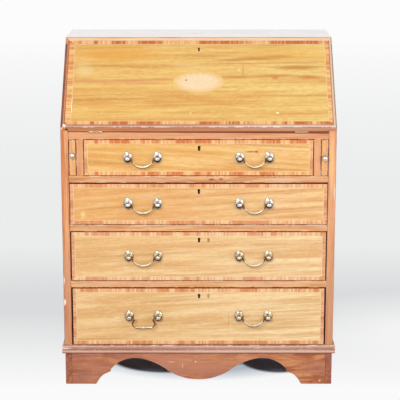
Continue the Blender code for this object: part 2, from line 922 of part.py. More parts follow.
def make_leaf(name, carrier, knuckles, flat_low, flat_high, pin, centre):
    """One leaf of a hinge. The bed's leaf holds the pin, and the fall's leaf turns on it."""
    outline = [(centre + across, back) for across, back in leaf_outline(knuckles)]
    leaf = sawn(name, outline, "plan", flat_low, flat_high, carrier, hinge_brass)
    for number, (start, end) in enumerate(knuckles):
        ends = (centre + start, 0, 0), (centre + end, 0, 0)
        glue(leaf, rod(f"{name}_knuckle_{number}", *ends, knuckle_radius, carrier))
    half = hinge_width / 2
    if pin:
        inside = half - knuckle_length / 2
        glue(leaf, rod(
            f"{name}_pin", (centre - inside, 0, 0), (centre + inside, 0, 0), hinge_pin_radius, carrier
        ))
    else:
        carve(leaf, rod(
            f"{name}_bore",
            (centre - half, 0, 0),
            (centre + half, 0, 0),
            hinge_pin_radius + hinge_play,
            carrier,
        ))
    return leaf


def make_hinges(bed, fall, hinge_line, fall_frame):
    """Both hinges: leaves let in flush, knuckles on the line where the fall meets the bed."""
    half = hinge_width / 2
    fall_knuckle = knuckle_length / 2 - hinge_play
    bed_knuckles = [(-half, -knuckle_length / 2), (knuckle_length / 2, half)]
    notch = knuckle_radius + hinge_play
    for side, hand in (("left", -1), ("right", 1)):
        centre = hand * hinge_offset
        make_leaf(f"bed_leaf_{side}", hinge_line, bed_knuckles, -hinge_leaf, 0, True, centre)
        fall_knuckles = [(-fall_knuckle, fall_knuckle)]
        make_leaf(f"fall_leaf_{side}", fall_frame, fall_knuckles, 0, hinge_leaf, False, centre)
        low_across = centre - half - hinge_play
        high_across = centre + half + hinge_play
        for board, carrier, low, high in (
            (bed, hinge_line, -hinge_leaf - seat_gap, cut_overrun),
            (fall, fall_frame, -cut_overrun, hinge_leaf + seat_gap),
        ):
            carve(board, rod(
                f"{board.name}_notch_{side}", (low_across, 0, 0), (high_across, 0, 0), notch, carrier
            ))
            carve(board, block(
                f"{board.name}_bedding_{side}",
                (low_across, 0, low),
                (high_across, hinge_leaf_reach + seat_gap, high),
                carrier,
            ))


def make_fall(fall_frame):
    """The fall: a slab rebated on three edges, so that its lips cover the sides and the top's edge."""
    fall = block(
        "fall_panel",
        (-fall_left, 0, 0),
        (fall_right, fall_length, fall_thickness),
        fall_frame,
        satinwood,
    )
    rebate = fall_rebate + seat_gap
    for side, hand in (("left", -1), ("right", 1)):
        ends = sorted((hand * fall_body_half, hand * (case_width / 2 + cut_overrun)))
        carve(fall, block(
            f"fall_rebate_{side}",
            (ends[0], -cut_overrun, -cut_overrun),
            (ends[1], fall_length + cut_overrun, rebate),
            fall_frame,
        ))
    carve(fall, block(
        "fall_rebate_top",
        (-fall_left - cut_overrun, fall_body_length, -cut_overrun),
        (fall_right + cut_overrun, fall_length + cut_overrun, rebate),
        fall_frame,
    ))
    carve(fall, block(
        "fall_leather_recess",
        (-fall_body_half + leather_margin, leather_margin, -cut_overrun),
        (fall_body_half - leather_margin, fall_body_length - leather_margin, leather_depth),
        fall_frame,
    ))
    make_fall_lock(fall, fall_frame)
    return fall


def make_fall_lock(fall, fall_frame):
    """The lock let into the fall's inner face and top edge, and the keyhole over it."""
    half = lock_width / 2
    case_half = lock_case_width / 2
    edge = fall_body_length
    pieces = (
        ("plate", half, edge - lock_height, edge - seat_gap, seat_gap, lock_plate),
        ("case", case_half, edge - lock_case_height, edge - seat_gap, seat_gap, lock_case_depth),
    )
    lock = None
    for label, across, near, far, low, high in pieces:
        carve(fall, block(
            f"fall_lock_{label}_recess",
            (-across - seat_gap, near - seat_gap, -cut_overrun),
            (across + seat_gap, edge + cut_overrun, high + seat_gap),
            fall_frame,
        ))
        look = None if lock else hinge_brass
        name = f"fall_lock_{label}" if lock else "fall_lock"
        shape = block(name, (-across, near, low), (across, far, high), fall_frame, look)
        lock = glue(lock, shape) if lock else shape
    middle = (lock_case_depth + seat_gap) / 2
    slot = block(
        "fall_lock_bolt_slot",
        (-lock_bolt / 2, edge - lock_plate, middle - lock_plate),
        (lock_bolt / 2, edge + cut_overrun, middle + lock_plate),
        fall_frame,
    )
    carve(lock, slot)
    key_middle = fall_length - fall_keyhole_drop
    key = sawn(
        "fall_keyhole",
        keyhole_outline(0, key_middle),
        "plan",
        fall_thickness - keyhole_depth,
        fall_thickness + cut_overrun,
        fall_frame,
    )
    carve(fall, key)


def make_desk_lid(bed):
    """The fall with its hinges and lock, and the cuts that they need in the bed."""
    hinge_line = frame("hinge_line", (0, -hinge_set, writing_height), bureau)
    fall_frame = frame("fall_swing", (0, -hinge_set, writing_height), bureau, fall_slope)
    fall = make_fall(fall_frame)
    make_hinges(bed, fall, hinge_line, fall_frame)


def make_inner_drawer(side, left, right, low, high):
    """A small drawer of the pigeonhole unit, with a turned wooden knob."""
    carrier = frame(f"inner_drawer_{side}_slide", ((left + right) / 2, unit_front, low), bureau)
    half = (right - left) / 2 - inner_gap
    height = high - low - inner_gap
    corners = (-half, 0, runner_gap), (half, inner_drawer_depth, height)
    drawer = block(f"inner_drawer_{side}", *corners, carrier, satinwood)
    carve(drawer, block(
        f"inner_drawer_{side}_hollow",
        (-half + inner_wall, inner_front, inner_floor + runner_gap),
        (half - inner_wall, inner_drawer_depth - inner_wall, height + cut_overrun),
        carrier,
    ))
    meet = math.degrees(math.asin(inner_knob_neck / inner_knob_radius))
    profile = [(0, inner_knob_reach + inner_knob_radius)]
    profile += arc((0, inner_knob_reach), inner_knob_radius, tip_angle, -90 + meet, curve_steps)
    profile += [(inner_knob_radius, 0), (inner_knob_radius, -inner_wall), (0, -inner_wall)]
    knob = turned(f"inner_drawer_{side}_knob", profile, carrier, (0, 0, height / 2))
    return glue(drawer, knob)


def make_pigeonholes():
    """The pigeonhole unit: upright bays over a shelf, and two small drawers below the outer bays."""
    half = inner_half - seat_gap
    low = writing_height + seat_gap
    high = top_under - seat_gap
    back = back_front - seat_gap
    unit = block("pigeonhole_unit", (-half, unit_front, low), (half, back, high), bureau, inner_mahogany)
    bay = (2 * half - unit_board) / bay_count
    shelf_low = low + unit_board + unit_drawer_height
    edges = [-half + bay * number for number in range(bay_count + 1)]
    front = unit_front - cut_overrun
    inner_back = back - unit_back
    for number, left in enumerate(edges[:-1], 1):
        carve(unit, block(
            f"pigeonhole_{number}",
            (left + unit_board, front, shelf_low + unit_board),
            (left + bay, inner_back, high - unit_board),
            bureau,
        ))
    lower = (
        ("left", edges[0], edges[drawer_bay_count]),
        ("middle", edges[drawer_bay_count], edges[-1 - drawer_bay_count]),
        ("right", edges[-1 - drawer_bay_count], edges[-1]),
    )
    for side, left, right in lower:
        carve(unit, block(
            f"lower_bay_{side}",
            (left + unit_board, front, low + unit_board),
            (right, inner_back, shelf_low),
            bureau,
        ))
        if side != "middle":
            make_inner_drawer(side, left + unit_board, right, low + unit_board, shelf_low)


writing_bed = make_carcass()
make_base_moulding()
make_apron()
make_side_bracket("side_bracket_left", -1)
make_side_bracket("side_bracket_right", 1)
make_pigeonholes()
make_desk_lid(writing_bed)
make_loper("left", -1, left_knob_rise)
make_loper("right", 1, right_knob_rise)
make_drawers()
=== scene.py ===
# %% [markdown]
# # A slant-front bureau desk in satinwood and mahogany
#
# A bureau is a chest of drawers with a writing desk on top. Its sloping lid, the fall, swings down
# on two hinges and rests on lopers, the two bars beside the top drawer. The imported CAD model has
# every board and fitting at its true size, and this lesson gives it veneers, metal, wear and light.
# Nothing here moves or resizes a CAD piece: a piece either gets a material or is replaced by a finer
# copy of itself.

# %% Load the frame
import math

import bmesh
import bpy
from mathutils import Matrix, Vector


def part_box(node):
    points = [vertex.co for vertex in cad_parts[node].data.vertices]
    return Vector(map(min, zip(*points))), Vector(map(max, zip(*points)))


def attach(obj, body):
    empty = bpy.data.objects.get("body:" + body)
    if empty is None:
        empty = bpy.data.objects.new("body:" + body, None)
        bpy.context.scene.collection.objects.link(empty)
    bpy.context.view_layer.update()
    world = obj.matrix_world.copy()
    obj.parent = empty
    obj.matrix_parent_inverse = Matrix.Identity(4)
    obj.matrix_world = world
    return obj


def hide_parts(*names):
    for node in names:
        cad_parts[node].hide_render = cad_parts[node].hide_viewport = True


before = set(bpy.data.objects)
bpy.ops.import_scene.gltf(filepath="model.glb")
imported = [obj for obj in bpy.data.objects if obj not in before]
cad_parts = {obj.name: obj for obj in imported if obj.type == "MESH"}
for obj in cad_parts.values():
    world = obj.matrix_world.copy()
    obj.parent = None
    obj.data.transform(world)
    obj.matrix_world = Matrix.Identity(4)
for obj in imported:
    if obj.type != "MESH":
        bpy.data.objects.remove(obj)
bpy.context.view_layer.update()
sides = ("left", "right")
drawers = range(1, 5)
post_numbers = range(1, 5)

# %% [markdown]
# ## The camera
#
# The photograph was taken from about four metres, a little above the desk, with a long lens. The
# camera comes first, because every later choice of detail depends on what it can see. It looks down
# by 12.4 degrees, and its height and distance were fitted to the edges of the case.

# %% Camera
scene = bpy.context.scene
camera_place = (0.0039, -4.1911, 1.414)
camera_pitch = math.radians(90 - 12.4)
sensor = 36.0
focal_share = 1465 / 400

lens = bpy.data.cameras.new("camera")
lens.sensor_width = sensor
lens.lens = sensor * focal_share
camera = bpy.data.objects.new("camera", lens)
camera.location = camera_place
camera.rotation_euler = (camera_pitch, 0, 0)
scene.collection.objects.link(camera)
scene.camera = camera
scene.view_settings.view_transform = "Standard"
print("camera at", tuple(camera.location), "lens", round(lens.lens, 1), "mm")

# %% [markdown]
# ## Small tools for materials
#
# Colours are written as sRGB hex, as a paint chart or a picture editor gives them, and one function
# turns them to the linear values that shaders add up. Another adds a node, gives it its settings and
# plugs other nodes into it, so a material reads from the inside out. The nodes that nearly every
# finish needs have a short function each.

# %% Colours and nodes
def linear(channel):
    """One sRGB channel, from 0 to 1, as the linear value that a shader takes."""
    return channel / 12.92 if channel <= 0.04045 else ((channel + 0.055) / 1.055) ** 2.4


def tint(code):
    """An sRGB colour of six hex digits as a linear colour with full alpha."""
    return (*[linear(int(code[start:start + 2], 16) / 255) for start in (0, 2, 4)], 1.0)


def add(tree, kind, inputs, out=0, **settings):
    """Adds a node with its settings, fills or links its inputs, and gives back one of its outputs."""
    node = tree.nodes.new(kind)
    for name, value in settings.items():
        setattr(node, name, value)
    for socket, value in inputs.items():
        if isinstance(value, bpy.types.NodeSocket):
            tree.links.new(value, node.inputs[socket])
        else:
            node.inputs[socket].default_value = value
    return node.outputs[out]


def place(tree):
    """Where a point lies in the desk's own frame, in metres."""
    return add(tree, "ShaderNodeTexCoord", {}, out="Object")


def part_of(tree, vector, axis=0):
    return add(tree, "ShaderNodeSeparateXYZ", {0: vector}, out=axis)


def ramp(tree, value, start, stop, bottom=0.0, top=1.0):
    """How far a value is from start to stop, as a share that runs from bottom to top."""
    return add(tree, "ShaderNodeMapRange", {0: value, 1: start, 2: stop, 3: bottom, 4: top})


def maths(tree, operation, *inputs, **settings):
    return add(tree, "ShaderNodeMath", dict(enumerate(inputs)), operation=operation, **settings)


print("mid grey 808080 is", round(tint("808080")[0], 3), "in linear light")

# %% [markdown]
# ## What every finish shares
#
# All patterns read Object coordinates. The pieces sit at the origin with their place in their mesh,
# so these are metres in the desk's own frame and a pattern's size can be written in millimetres.
# `blots` is noise whose blots have a real size along x, y and z: long along the grain, narrow
# across it. `patch` is one soft-edged spot at a place, and `marks` makes a row of them, for knots,
# chips and stains. A half size of `past_all` reaches beyond the whole desk, so such a spot is a
# stripe. `glazed` lays colours over a ground one after another, each as strong as its pattern says,
# as a polisher does.

# %% Patterns with real sizes
millimetre = 0.001
past_all = 3000


def blots(tree, size, shift=0.0, span=(0.3, 0.7), share=(0.0, 1.0), detail=2.0, distortion=0.0, lean=0.0):
    """Noise with blots of a size in millimetres; the span of its values becomes a share."""
    where = add(tree, "ShaderNodeMapping", {
        "Vector": place(tree), "Location": (shift, shift * 0.7, shift * 0.4),
        "Rotation": (0, math.radians(lean), 0), "Scale": [length * millimetre for length in size],
    }, vector_type="TEXTURE")
    noise = add(tree, "ShaderNodeTexNoise", {
        "Vector": where, "Scale": 1.0, "Detail": detail, "Distortion": distortion,
    })
    return ramp(tree, noise, *span, *share)


def patch(tree, middle, half, share=1.0, softness=0.7):
    """One spot with soft edges; its middle and half sizes are in millimetres."""
    where = add(tree, "ShaderNodeMapping", {
        "Vector": place(tree), "Location": Vector(middle) * millimetre, "Scale": Vector(half) * millimetre,
    }, vector_type="TEXTURE")
    away = add(tree, "ShaderNodeVectorMath", {0: where}, out="Value", operation="LENGTH")
    return ramp(tree, away, 1.0, 1.0 - softness, 0.0, share)


def marks(tree, spots):
    """Spots as glazes. A spot is its x and z, its half sizes along them, its share and its tone.

    Its softness may follow, and then its y and the half size along it. Without those it goes right through.
    """
    usual = (0.7, 0, past_all)
    whole = [spot + usual[len(spot) - 6:] for spot in spots]
    return [(patch(tree, (x, y, z), (wide, deep, high), share, softness), tint(tone))
            for x, z, wide, high, share, tone, softness, y, deep in whole]


def glazed(tree, ground, *glazes):
    """Lays colours over a ground, each as strong as its pattern."""
    for strength, colour in glazes:
        ground = add(tree, "ShaderNodeMix", {0: strength, 6: ground, 7: colour}, out=2, data_type="RGBA")
    return ground


def surface(name, colour, roughness, height=None, lift=0.0, **constants):
    """A finished material: colour and roughness may be patterns, and the constants sit on the shader."""
    made = bpy.data.materials.new(name)
    made.use_nodes = True
    tree = made.node_tree
    shader = tree.nodes["Principled BSDF"]
    for socket, value in (("Base Color", colour), ("Roughness", roughness)):
        made_value = value(tree) if callable(value) else value
        if isinstance(made_value, bpy.types.NodeSocket):
            tree.links.new(made_value, shader.inputs[socket])
        else:
            shader.inputs[socket].default_value = made_value
    if height:
        bump = add(tree, "ShaderNodeBump", {"Height": height(tree), "Distance": lift * millimetre})
        tree.links.new(bump, shader.inputs["Normal"])
    for socket, value in constants.items():
        shader.inputs[socket.replace("_", " ")].default_value = value
    return made


# %% [markdown]
# ## Plain wood
#
# A board shows several things at once: slow clouds of light and dark, streaks that follow the grain,
# fine fibres, and pores that look like short dark dashes. The French polish over it evens the gloss
# and has worn unevenly. The fibres and pores are drawn about twice their real width, because the real
# ones are too fine for a picture of this size. `spots` are knots and chips at places of their own.

# %% A function for any wood
coat_share = 0.12
coat_roughness = 0.12


def along(axis, length, width):
    """A blot's size, long on the grain's axis and equally narrow on the other two."""
    size = [width] * 3
    size[axis] = length
    return size


def polish_gloss(axis, shift, gloss):
    """The uneven gloss of an old polish."""
    return lambda tree: blots(tree, along(axis, 130, 70), shift, (0.3, 0.7), (gloss - 0.06, gloss + 0.08))


def wood(name, axis, tones, shift=0.0, streak=(320, 11), force=1.0, pores=0.5, gloss=0.38,
         coat=coat_share, spots=()):
    """A polished wood. The tones are its ground, its streaks, its clouds and its pores."""
    ground, streaked, clouded, pored = [tint(tone) for tone in tones]

    def colour(tree):
        return glazed(
            tree, ground,
            (blots(tree, along(axis, *streak), shift, (0.38, 0.66), (0, force), 4.0, 0.6), streaked),
            (blots(tree, along(axis, 190, 46), shift + 3, (0.42, 0.68), (0, 0.85)), clouded),
            (blots(tree, along(axis, 42, 1.8), shift, (0.42, 0.75), (0, 0.4 * force)), streaked),
            (blots(tree, along(axis, 13, 1.5), shift, (0.68, 0.75), (0, pores), 1.0), pored),
            *marks(tree, spots),
        )

    def height(tree):
        return blots(tree, along(axis, 30, 1.6), shift)

    return surface(name, colour, polish_gloss(axis, shift, gloss), height, 0.05,
                   Coat_Weight=coat, Coat_Roughness=coat_roughness)


# %% [markdown]
# ## Satinwood
#
# The fall and the fronts are veneered in satinwood, a pale gold wood with a silky figure. It has
# mellowed unevenly, so each leaf has its own tones and carries tan streaks, a few thin brown lines
# and a scatter of nicks. Each leaf also goes paler towards its right end. A leaf never lies quite
# level, so its streaks lean by a degree or two. Round the handles' roses the front is painted darker,
# a little below each rose: partly dirt in the polish where no cloth gets close, partly painted shade.

# %% A function for satinwood
def satinwood(name, tones, shift, lean=0.0, streak=(420, 17), force=0.8, lines=0.5, mottle=0.5, spots=()):
    """Satinwood veneer. The tones are its ground, its paler right end, its streaks and its brown lines."""
    ground, paler, streaked, brown = [tint(tone) for tone in tones]
    nick = tint("FBF0DC")

    def colour(tree):
        layers = (
            (*streak, 0, (0.42, 0.66), force, 2.0, 0.2, lean, streaked),
            (300, 9, 2, (0.46, 0.70), force * 0.7, 2.0, 0.2, lean * 1.2, streaked),
            (130, 13, 4, (0.46, 0.70), 0.5, 1.0, 0.2, lean, paler),
            (420, 8, 5, (0.58, 0.72), lines, 1.0, 0.2, lean * 1.2, brown),
            (26, 2.4, 7, (0.42, 0.72), 0.35, 2.0, 0.0, lean, streaked),
            (20, 5, 6, (0.46, 0.70), mottle, 2.0, 0.0, lean, streaked),
            (17, 4, 1, (0.52, 0.74), mottle, 2.0, 0.0, lean, paler),
            (7, 3, 8, (0.71, 0.76), 0.55, 1.0, 0.0, 0.0, brown),
            (4, 3.4, 9, (0.75, 0.78), 0.6, 1.0, 0.0, 0.0, nick),
        )
        figure = [
            (blots(tree, along(0, length, width), shift + moved, span, (0, share), detail, twist, slant),
             tone)
            for length, width, moved, span, share, detail, twist, slant, tone in layers
        ]
        to_right = ramp(tree, part_of(tree, place(tree)), -0.16, 0.22)
        return glazed(tree, ground, (to_right, paler), *figure, *marks(tree, spots))

    return surface(name, colour, polish_gloss(0, shift, 0.36), Coat_Weight=coat_share,
                   Coat_Roughness=coat_roughness)


# %% Satinwood, one for the fall and each front
# The last two of the fall's spots are near-black painted shade round its keyhole.
fall_spots = [
    (215, 867, 14, 6, 0.8, "DC8040"), (308, 870, 26, 5, 0.7, "D98A48"), (113, 886, 4, 2.4, 0.9, "FFF4E0"),
    (218, 781, 6, 3.4, 1.0, "FFF8DC"), (-22, 781, 2.6, 4.4, 0.7, "FBEFC8"),
    (-322, 888, 30, 24, 0.5, "F4DC9E"), (125, 885, 2.2, 17, 0.7, "B8803C"),
    (95, 911, 60, 5, 0.7, "C88438"), (165, 915, 70, 6, 0.8, "C88036"), (226, 920, 54, 6, 0.8, "C88034"),
    (278, 892, 84, 7.6, 0.8, "C88038"), (215, 872, 80, 5.4, 0.7, "D08A44"),
    (310, 868, 60, 6, 0.8, "D08442"), (110, 869, 50, 4.6, 0.6, "CE8C44"),
    (205, 950, 90, 4.4, 0.6, "C88C3E"), (250, 930, 190, 26, 0.35, "F0B446"),
    (-300, 859, 80, 5, 0.6, "DE9860"), (-190, 860, 90, 5.6, 0.8, "DC945C"),
    (-110, 863, 60, 4.6, 0.7, "DC9658"), (-260, 897, 90, 4.4, 0.6, "CE9244"),
    (-150, 853, 70, 4.4, 0.6, "DE9C58"), (-150, 815, 130, 4.4, 0.4, "DE9A50"),
    (200, 823, 130, 5, 0.4, "DE9C50"), (-40, 900, 60, 5, 0.4, "F6DCA0"),
    (-230, 925, 170, 26, 0.6, "E8A236"), (1, 940.5, 3.4, 3.2, 1.0, "0A0604", 0.3),
    (1, 936.5, 2.8, 3.6, 1.0, "0A0604", 0.3),
]
# The first two spots of each front are near-black painted shade, the outline of the keyhole's shadow a little
# larger than the cut hole.
front_spots = [
    [(1.6, 688, 4.6, 4.6, 1.0, "040201", 0.2), (1.6, 682, 3.9, 5.2, 1.0, "040201", 0.2),
     (146, 684, 26, 8, 0.6, "FFC886"), (165, 675, 9, 11, 0.6, "F09A50"),
     (144, 675, 21, 3, 1.0, "B05C28", 0.8), (159.5, 675, 4.5, 3.4, 1.0, "602A14"),
     (102, 641, 34, 1.8, 0.5, "C98A50")],
    [(0.8, 566, 4.2, 4.4, 1.0, "040201", 0.2), (1.0, 560, 3.4, 4.8, 1.0, "040201", 0.2),
     (250, 556, 30, 1.8, 0.5, "B97A48"), (-322, 497, 9, 13, 0.6, "F6E08E"),
     (215, 545, 26, 1.6, 0.4, "C08650")],
    [(1.4, 427, 4.4, 4.4, 1.0, "040201", 0.2), (1.4, 421.5, 3.6, 4.8, 1.0, "040201", 0.2),
     (27.6, 423.5, 5, 8.6, 1.0, "8E5C28"), (26.6, 422, 1.6, 4, 0.7, "E8C083"),
     (-40, 350, 70, 2, 0.4, "C08650")],
    [(1.4, 264, 4.2, 4.4, 1.0, "040201", 0.2), (1.4, 258.5, 3.4, 4.8, 1.0, "040201", 0.2),
     (27.6, 261.5, 5.2, 9, 1.0, "9A6C34"), (27, 261, 1.8, 5, 0.7, "EAC68C"),
     (-250, 200, 20, 3, 0.4, "C08A50"), (85, 190, 1.8, 30, 0.5, "B98450"), (0, 165, 90, 2, 0.45, "B98650")],
]
front_tones = (
    ("EDB968", "F7D08C", "DC9848", "C0803E"),
    ("E8AF62", "F7D298", "DE9A58", "C08246"),
    ("EBBE7E", "FBDFAC", "DEA668", "C4904E"),
    ("EABE80", "FCE0AE", "DCA868", "C09050"),
)
# A darker halo painted round each rose, a little lower than the rose: partly dirt, partly painted shade under
# the rose.
rose_shade_and_dirt = (16.5, 19.5, 0.7, "A2682F", 0.4)
rose_shade_drop = 1.5
for number, spots in zip(drawers, front_spots):
    for index in post_numbers:
        middle = sum(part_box(f"handle_post_{number}_{index}"), Vector()) / 2 / millimetre
        spots.append((middle.x, middle.z - rose_shade_drop, *rose_shade_and_dirt))
fall_satinwood = satinwood(
    "satinwood_fall", ("F4C670", "F8D884", "DE9E4A", "C48C40"), 0.31, -0.8, (640, 26), 0.9, 0.6, 0.4,
    fall_spots,
)
front_satinwoods = [
    satinwood(f"satinwood_front_{number}", tones, 3.7 * number, lean, (380, 17), 0.85, 0.5, 0.32, spots)
    for number, (tones, lean, spots) in enumerate(zip(front_tones, (2.5, -3.5, -2.0, -3.0), front_spots), 1)
]
print("satinwoods", 1 + len(front_satinwoods), "with", len(fall_spots), "marks on the fall")

# %% [markdown]
# ## Mahogany and oak
#
# The case is mahogany that has faded to an orange tan, and the base has kept more of its brown. The
# drawer boxes and the back are oak, which was left unpolished. Where hands and cloths rub an arris,
# the stain wears through and leaves a broken pale line. The faces inside the gaps where two boards
# meet are painted dark, as the shade in a narrow gap, with some old wax and dust.

# %% The case, the base and the drawer boxes
case_tones = ("F3B276", "C4662A", "E8A97A", "8A4420")
rail_knots = [
    (36, 597, 12, 4.5, 1.0, "9A502C"), (62, 598, 9, 4, 1.0, "A45A34"),
    (0, 721, past_all, 14, 0.5, "DC9064"), (-280, 720, 60, 8, 0.5, "E8A878"),
    (240, 596, 120, 6, 0.4, "F8D0A4"), (0, 296, past_all, 14, 0.2, "FAD09C"),
    (-100, 590, 300, 3, 0.4, "B86C3C"),
]
mahogany_upright = wood("mahogany_upright", 2, case_tones, 0.9, (180, 10), pores=0.7, spots=[
    (0, 90, past_all, 420, 0.55, "BC8062"), (-376, 650, 7, 130, 0.6, "D06E32", 0.7, -212, 60),
    (-380, 307, 3.6, 14, 1.0, "FFF0E0", 0.4, -212, 9), (-378, 243, 4.6, 11, 1.0, "FFECD8", 0.4, -212, 9),
    (378, 560, 4, 30, 0.7, "F6D8BC", 0.7, -212, 30), (-380, 741, 5, 7, 1.0, "FBEEDF", 0.4, -212, 14),
    (-328, 655, 14, 80, 0.5, "E8AA76", 0.7, -212, 60), (328, 655, 14, 80, 0.7, "F0B080", 0.7, -212, 60),
    (369, 640, 9, 120, 0.6, "FCC48C", 0.7, -212, 60),
])
mahogany_level = wood("mahogany_level", 0, ("F0BA80", "C87C40", "E8AE86", "8E4E28"), 1.7, (110, 6), pores=0.8,
                      spots=rail_knots)
mahogany_deep = wood("mahogany_deep", 1, case_tones, 2.3, (240, 9))
# Painted shade for the slanted edges of the sides under the fall's lips: deep on the left, greyer on the
# right.
slant_shade_left = wood("painted_slant_shade_left", 2, ("9E5A3A", "834628", "AE6C48", "5C2E1C"), 2.9, (60, 5))
slant_shade_right = wood("painted_slant_shade_right", 2, ("B09882", "93735C", "BFA890", "6E4E3A"), 3.0, (60, 5))
polished_top = wood(
    "polished_top", 0, ("956648", "7C5038", "8C6046", "54362A"), 5.3, (300, 12), pores=0.3, gloss=0.16,
    coat=1.0,
)
base_spots = [
    (-9, 67, 3, 3, 1.0, "F8E8DA"), (-46, 55, 1.6, 11, 0.7, "EED4C0"), (-78, 66, 14, 2, 0.7, "F0D8C4"),
    (-372, 9, 4, 4, 0.9, "F4E2D4"), (371, 67, 2, 3, 1.0, "F8E8DA"), (346, 10, 4, 4, 0.7, "F0D8C4"),
    (60, 24, 6, 4, 0.6, "D99070"), (-330, 30, 30, 18, 0.5, "8E5A4C"), (10, 66, 260, 44, 0.35, "D6966A"),
    (-340, 84, 70, 10, 0.4, "9A5C4C"),
]
base_tones = ("D48E5C", "A2552E", "B0705C", "6A3422")
base_level = wood("base_mahogany_level", 0, base_tones, 3.1, (70, 14), 1.1, 0.9, 0.42, spots=base_spots)
base_deep = wood("base_mahogany_deep", 1, ("B4714E", "8A4630", "9C5E4E", "5E2C20"), 3.9, (70, 12), 1.1,
                 gloss=0.42)
inner_mahogany = wood("inner_mahogany", 0, ("B87A4E", "9C6038", "AC6E4A", "5E3620"), 4.3, (200, 7))
oak_tones = ("D9BC8E", "C4A06C", "CFB080", "8C6C44")
oak_deep = wood("oak_deep", 1, oak_tones, 5.1, (180, 6), 1.0, 0.6, 0.62, 0.0)
oak_upright = wood("oak_upright", 2, oak_tones, 5.9, (260, 9), 1.0, 0.6, 0.62, 0.0)
boxwood = wood("boxwood", 0, ("F6DAA4", "EAC68A", "F2D09C", "B08A58"), 7.3, (80, 3), spots=[
    (-350, 800, 9, 20, 1.0, "FFFCF4", 0.3),
])
# Painted shade for faces inside the gaps and under the rails, with some old wax and dust, and the dark
# hairline of the apron's joints; its gloss is low so the gaps stay dark.
gap_shade_and_grime = wood("painted_gap_shade_and_grime", 0, ("C05220", "8C3410", "A8461C", "4C1A06"), 7.9, (60, 6), gloss=0.8, coat=0.0)
gap_shade_and_grime.node_tree.nodes["Principled BSDF"].inputs["Specular IOR Level"].default_value = 0.05
print("finishes so far", len(bpy.data.materials))


# %% Worn arrises
def rubbed(name, axis, plain, bare, shift, span=(0.50, 0.58), share=0.9):
    """An arris whose stain has worn through here and there down to the bare wood."""
    def colour(tree):
        return glazed(
            tree, tint(plain),
            (blots(tree, along(axis, 34, 16), shift, span, (0, share), 4.0), tint(bare)),
            (blots(tree, along(axis, 6, 5), shift + 1, (0.60, 0.66), (0, share), 1.0), tint("FFF8F0")),
            (blots(tree, along(axis, 20, 9), shift + 2, (0.58, 0.66), (0, 0.5)), tint("8A4E30")),
        )
    return surface(name, colour, 0.45)


rubbed_level = rubbed("rubbed_rail", 0, "C47C4C", "FFE8CE", 1.1, (0.51, 0.58), 0.85)
rubbed_upright = rubbed("rubbed_stile", 2, "C07444", "FFE2C6", 1.9, (0.51, 0.59), 0.85)
rubbed_base = rubbed("rubbed_base", 0, "B87856", "EBC8AE", 2.7, (0.56, 0.64))
rubbed_satinwood = rubbed("rubbed_satinwood", 2, "96522A", "F2C69A", 3.3, (0.54, 0.62), 0.6)
print("worn arrises", [made.name for made in (rubbed_level, rubbed_upright, rubbed_base, rubbed_satinwood)])

# %% [markdown]
# ## Crossbanding
#
# A crossband is a border of veneer whose grain runs across the border's length. It is laid in short
# pieces, so the band changes tone every few millimetres, with a hairline joint between two pieces.
# Cells of a one-dimensional Voronoi texture have just that: random widths with one random tone each.
# `run` is the direction along the band. The layer also used darker wood by the handful, so `runs`
# gives a few places where the pieces are deep in tone.

# %% A function for crossbanding
def crossband(name, run, tones, pitch=6.0, shift=0.0, deep_share=0.6, runs=()):
    """Short pieces of veneer in a row: light, middle and deep in tone, with thin joints."""
    light, middle, deep, joint = [tint(tone) for tone in tones]

    def colour(tree):
        spot = add(tree, "ShaderNodeVectorMath", {0: place(tree), 1: Vector(run) / (pitch * millimetre)},
                   out="Value", operation="DOT_PRODUCT")
        moved = maths(tree, "ADD", spot, shift)
        cells = {"W": moved, "Scale": 1.0}
        pieces = add(tree, "ShaderNodeTexVoronoi", cells, out="Color", voronoi_dimensions="1D")
        parts = [add(tree, "ShaderNodeSeparateColor", {0: pieces}, out=part) for part in (0, 1, 2)]
        edge = add(tree, "ShaderNodeTexVoronoi", cells, out="Distance", voronoi_dimensions="1D",
                   feature="DISTANCE_TO_EDGE")
        group = add(tree, "ShaderNodeTexNoise", {"W": moved, "Scale": 0.16, "Detail": 1.0},
                    noise_dimensions="1D")
        strong = ramp(tree, group, 0.52, 0.66, top=deep_share)
        for centre, level, half in runs:
            held = patch(tree, (centre, 0, level), (half, 900, 26), deep_share, 0.15)
            strong = maths(tree, "MAXIMUM", strong, held)
        uneven = ramp(tree, parts[1], 0.1, 0.55, 0.6)
        return glazed(
            tree, light,
            (ramp(tree, parts[0], 0.3, 0.8, top=0.8), middle),
            (maths(tree, "MULTIPLY", strong, uneven), deep),
            (ramp(tree, parts[2], 0.88, 0.92, top=0.55 * deep_share), deep),
            (ramp(tree, edge, 0.09, 0.03, top=0.6), joint),
            (blots(tree, (5, 5, 5), shift, (0.5, 0.75), (0, 0.3)), joint),
        )

    return surface(name, colour, 0.34, Coat_Weight=coat_share, Coat_Roughness=coat_roughness)


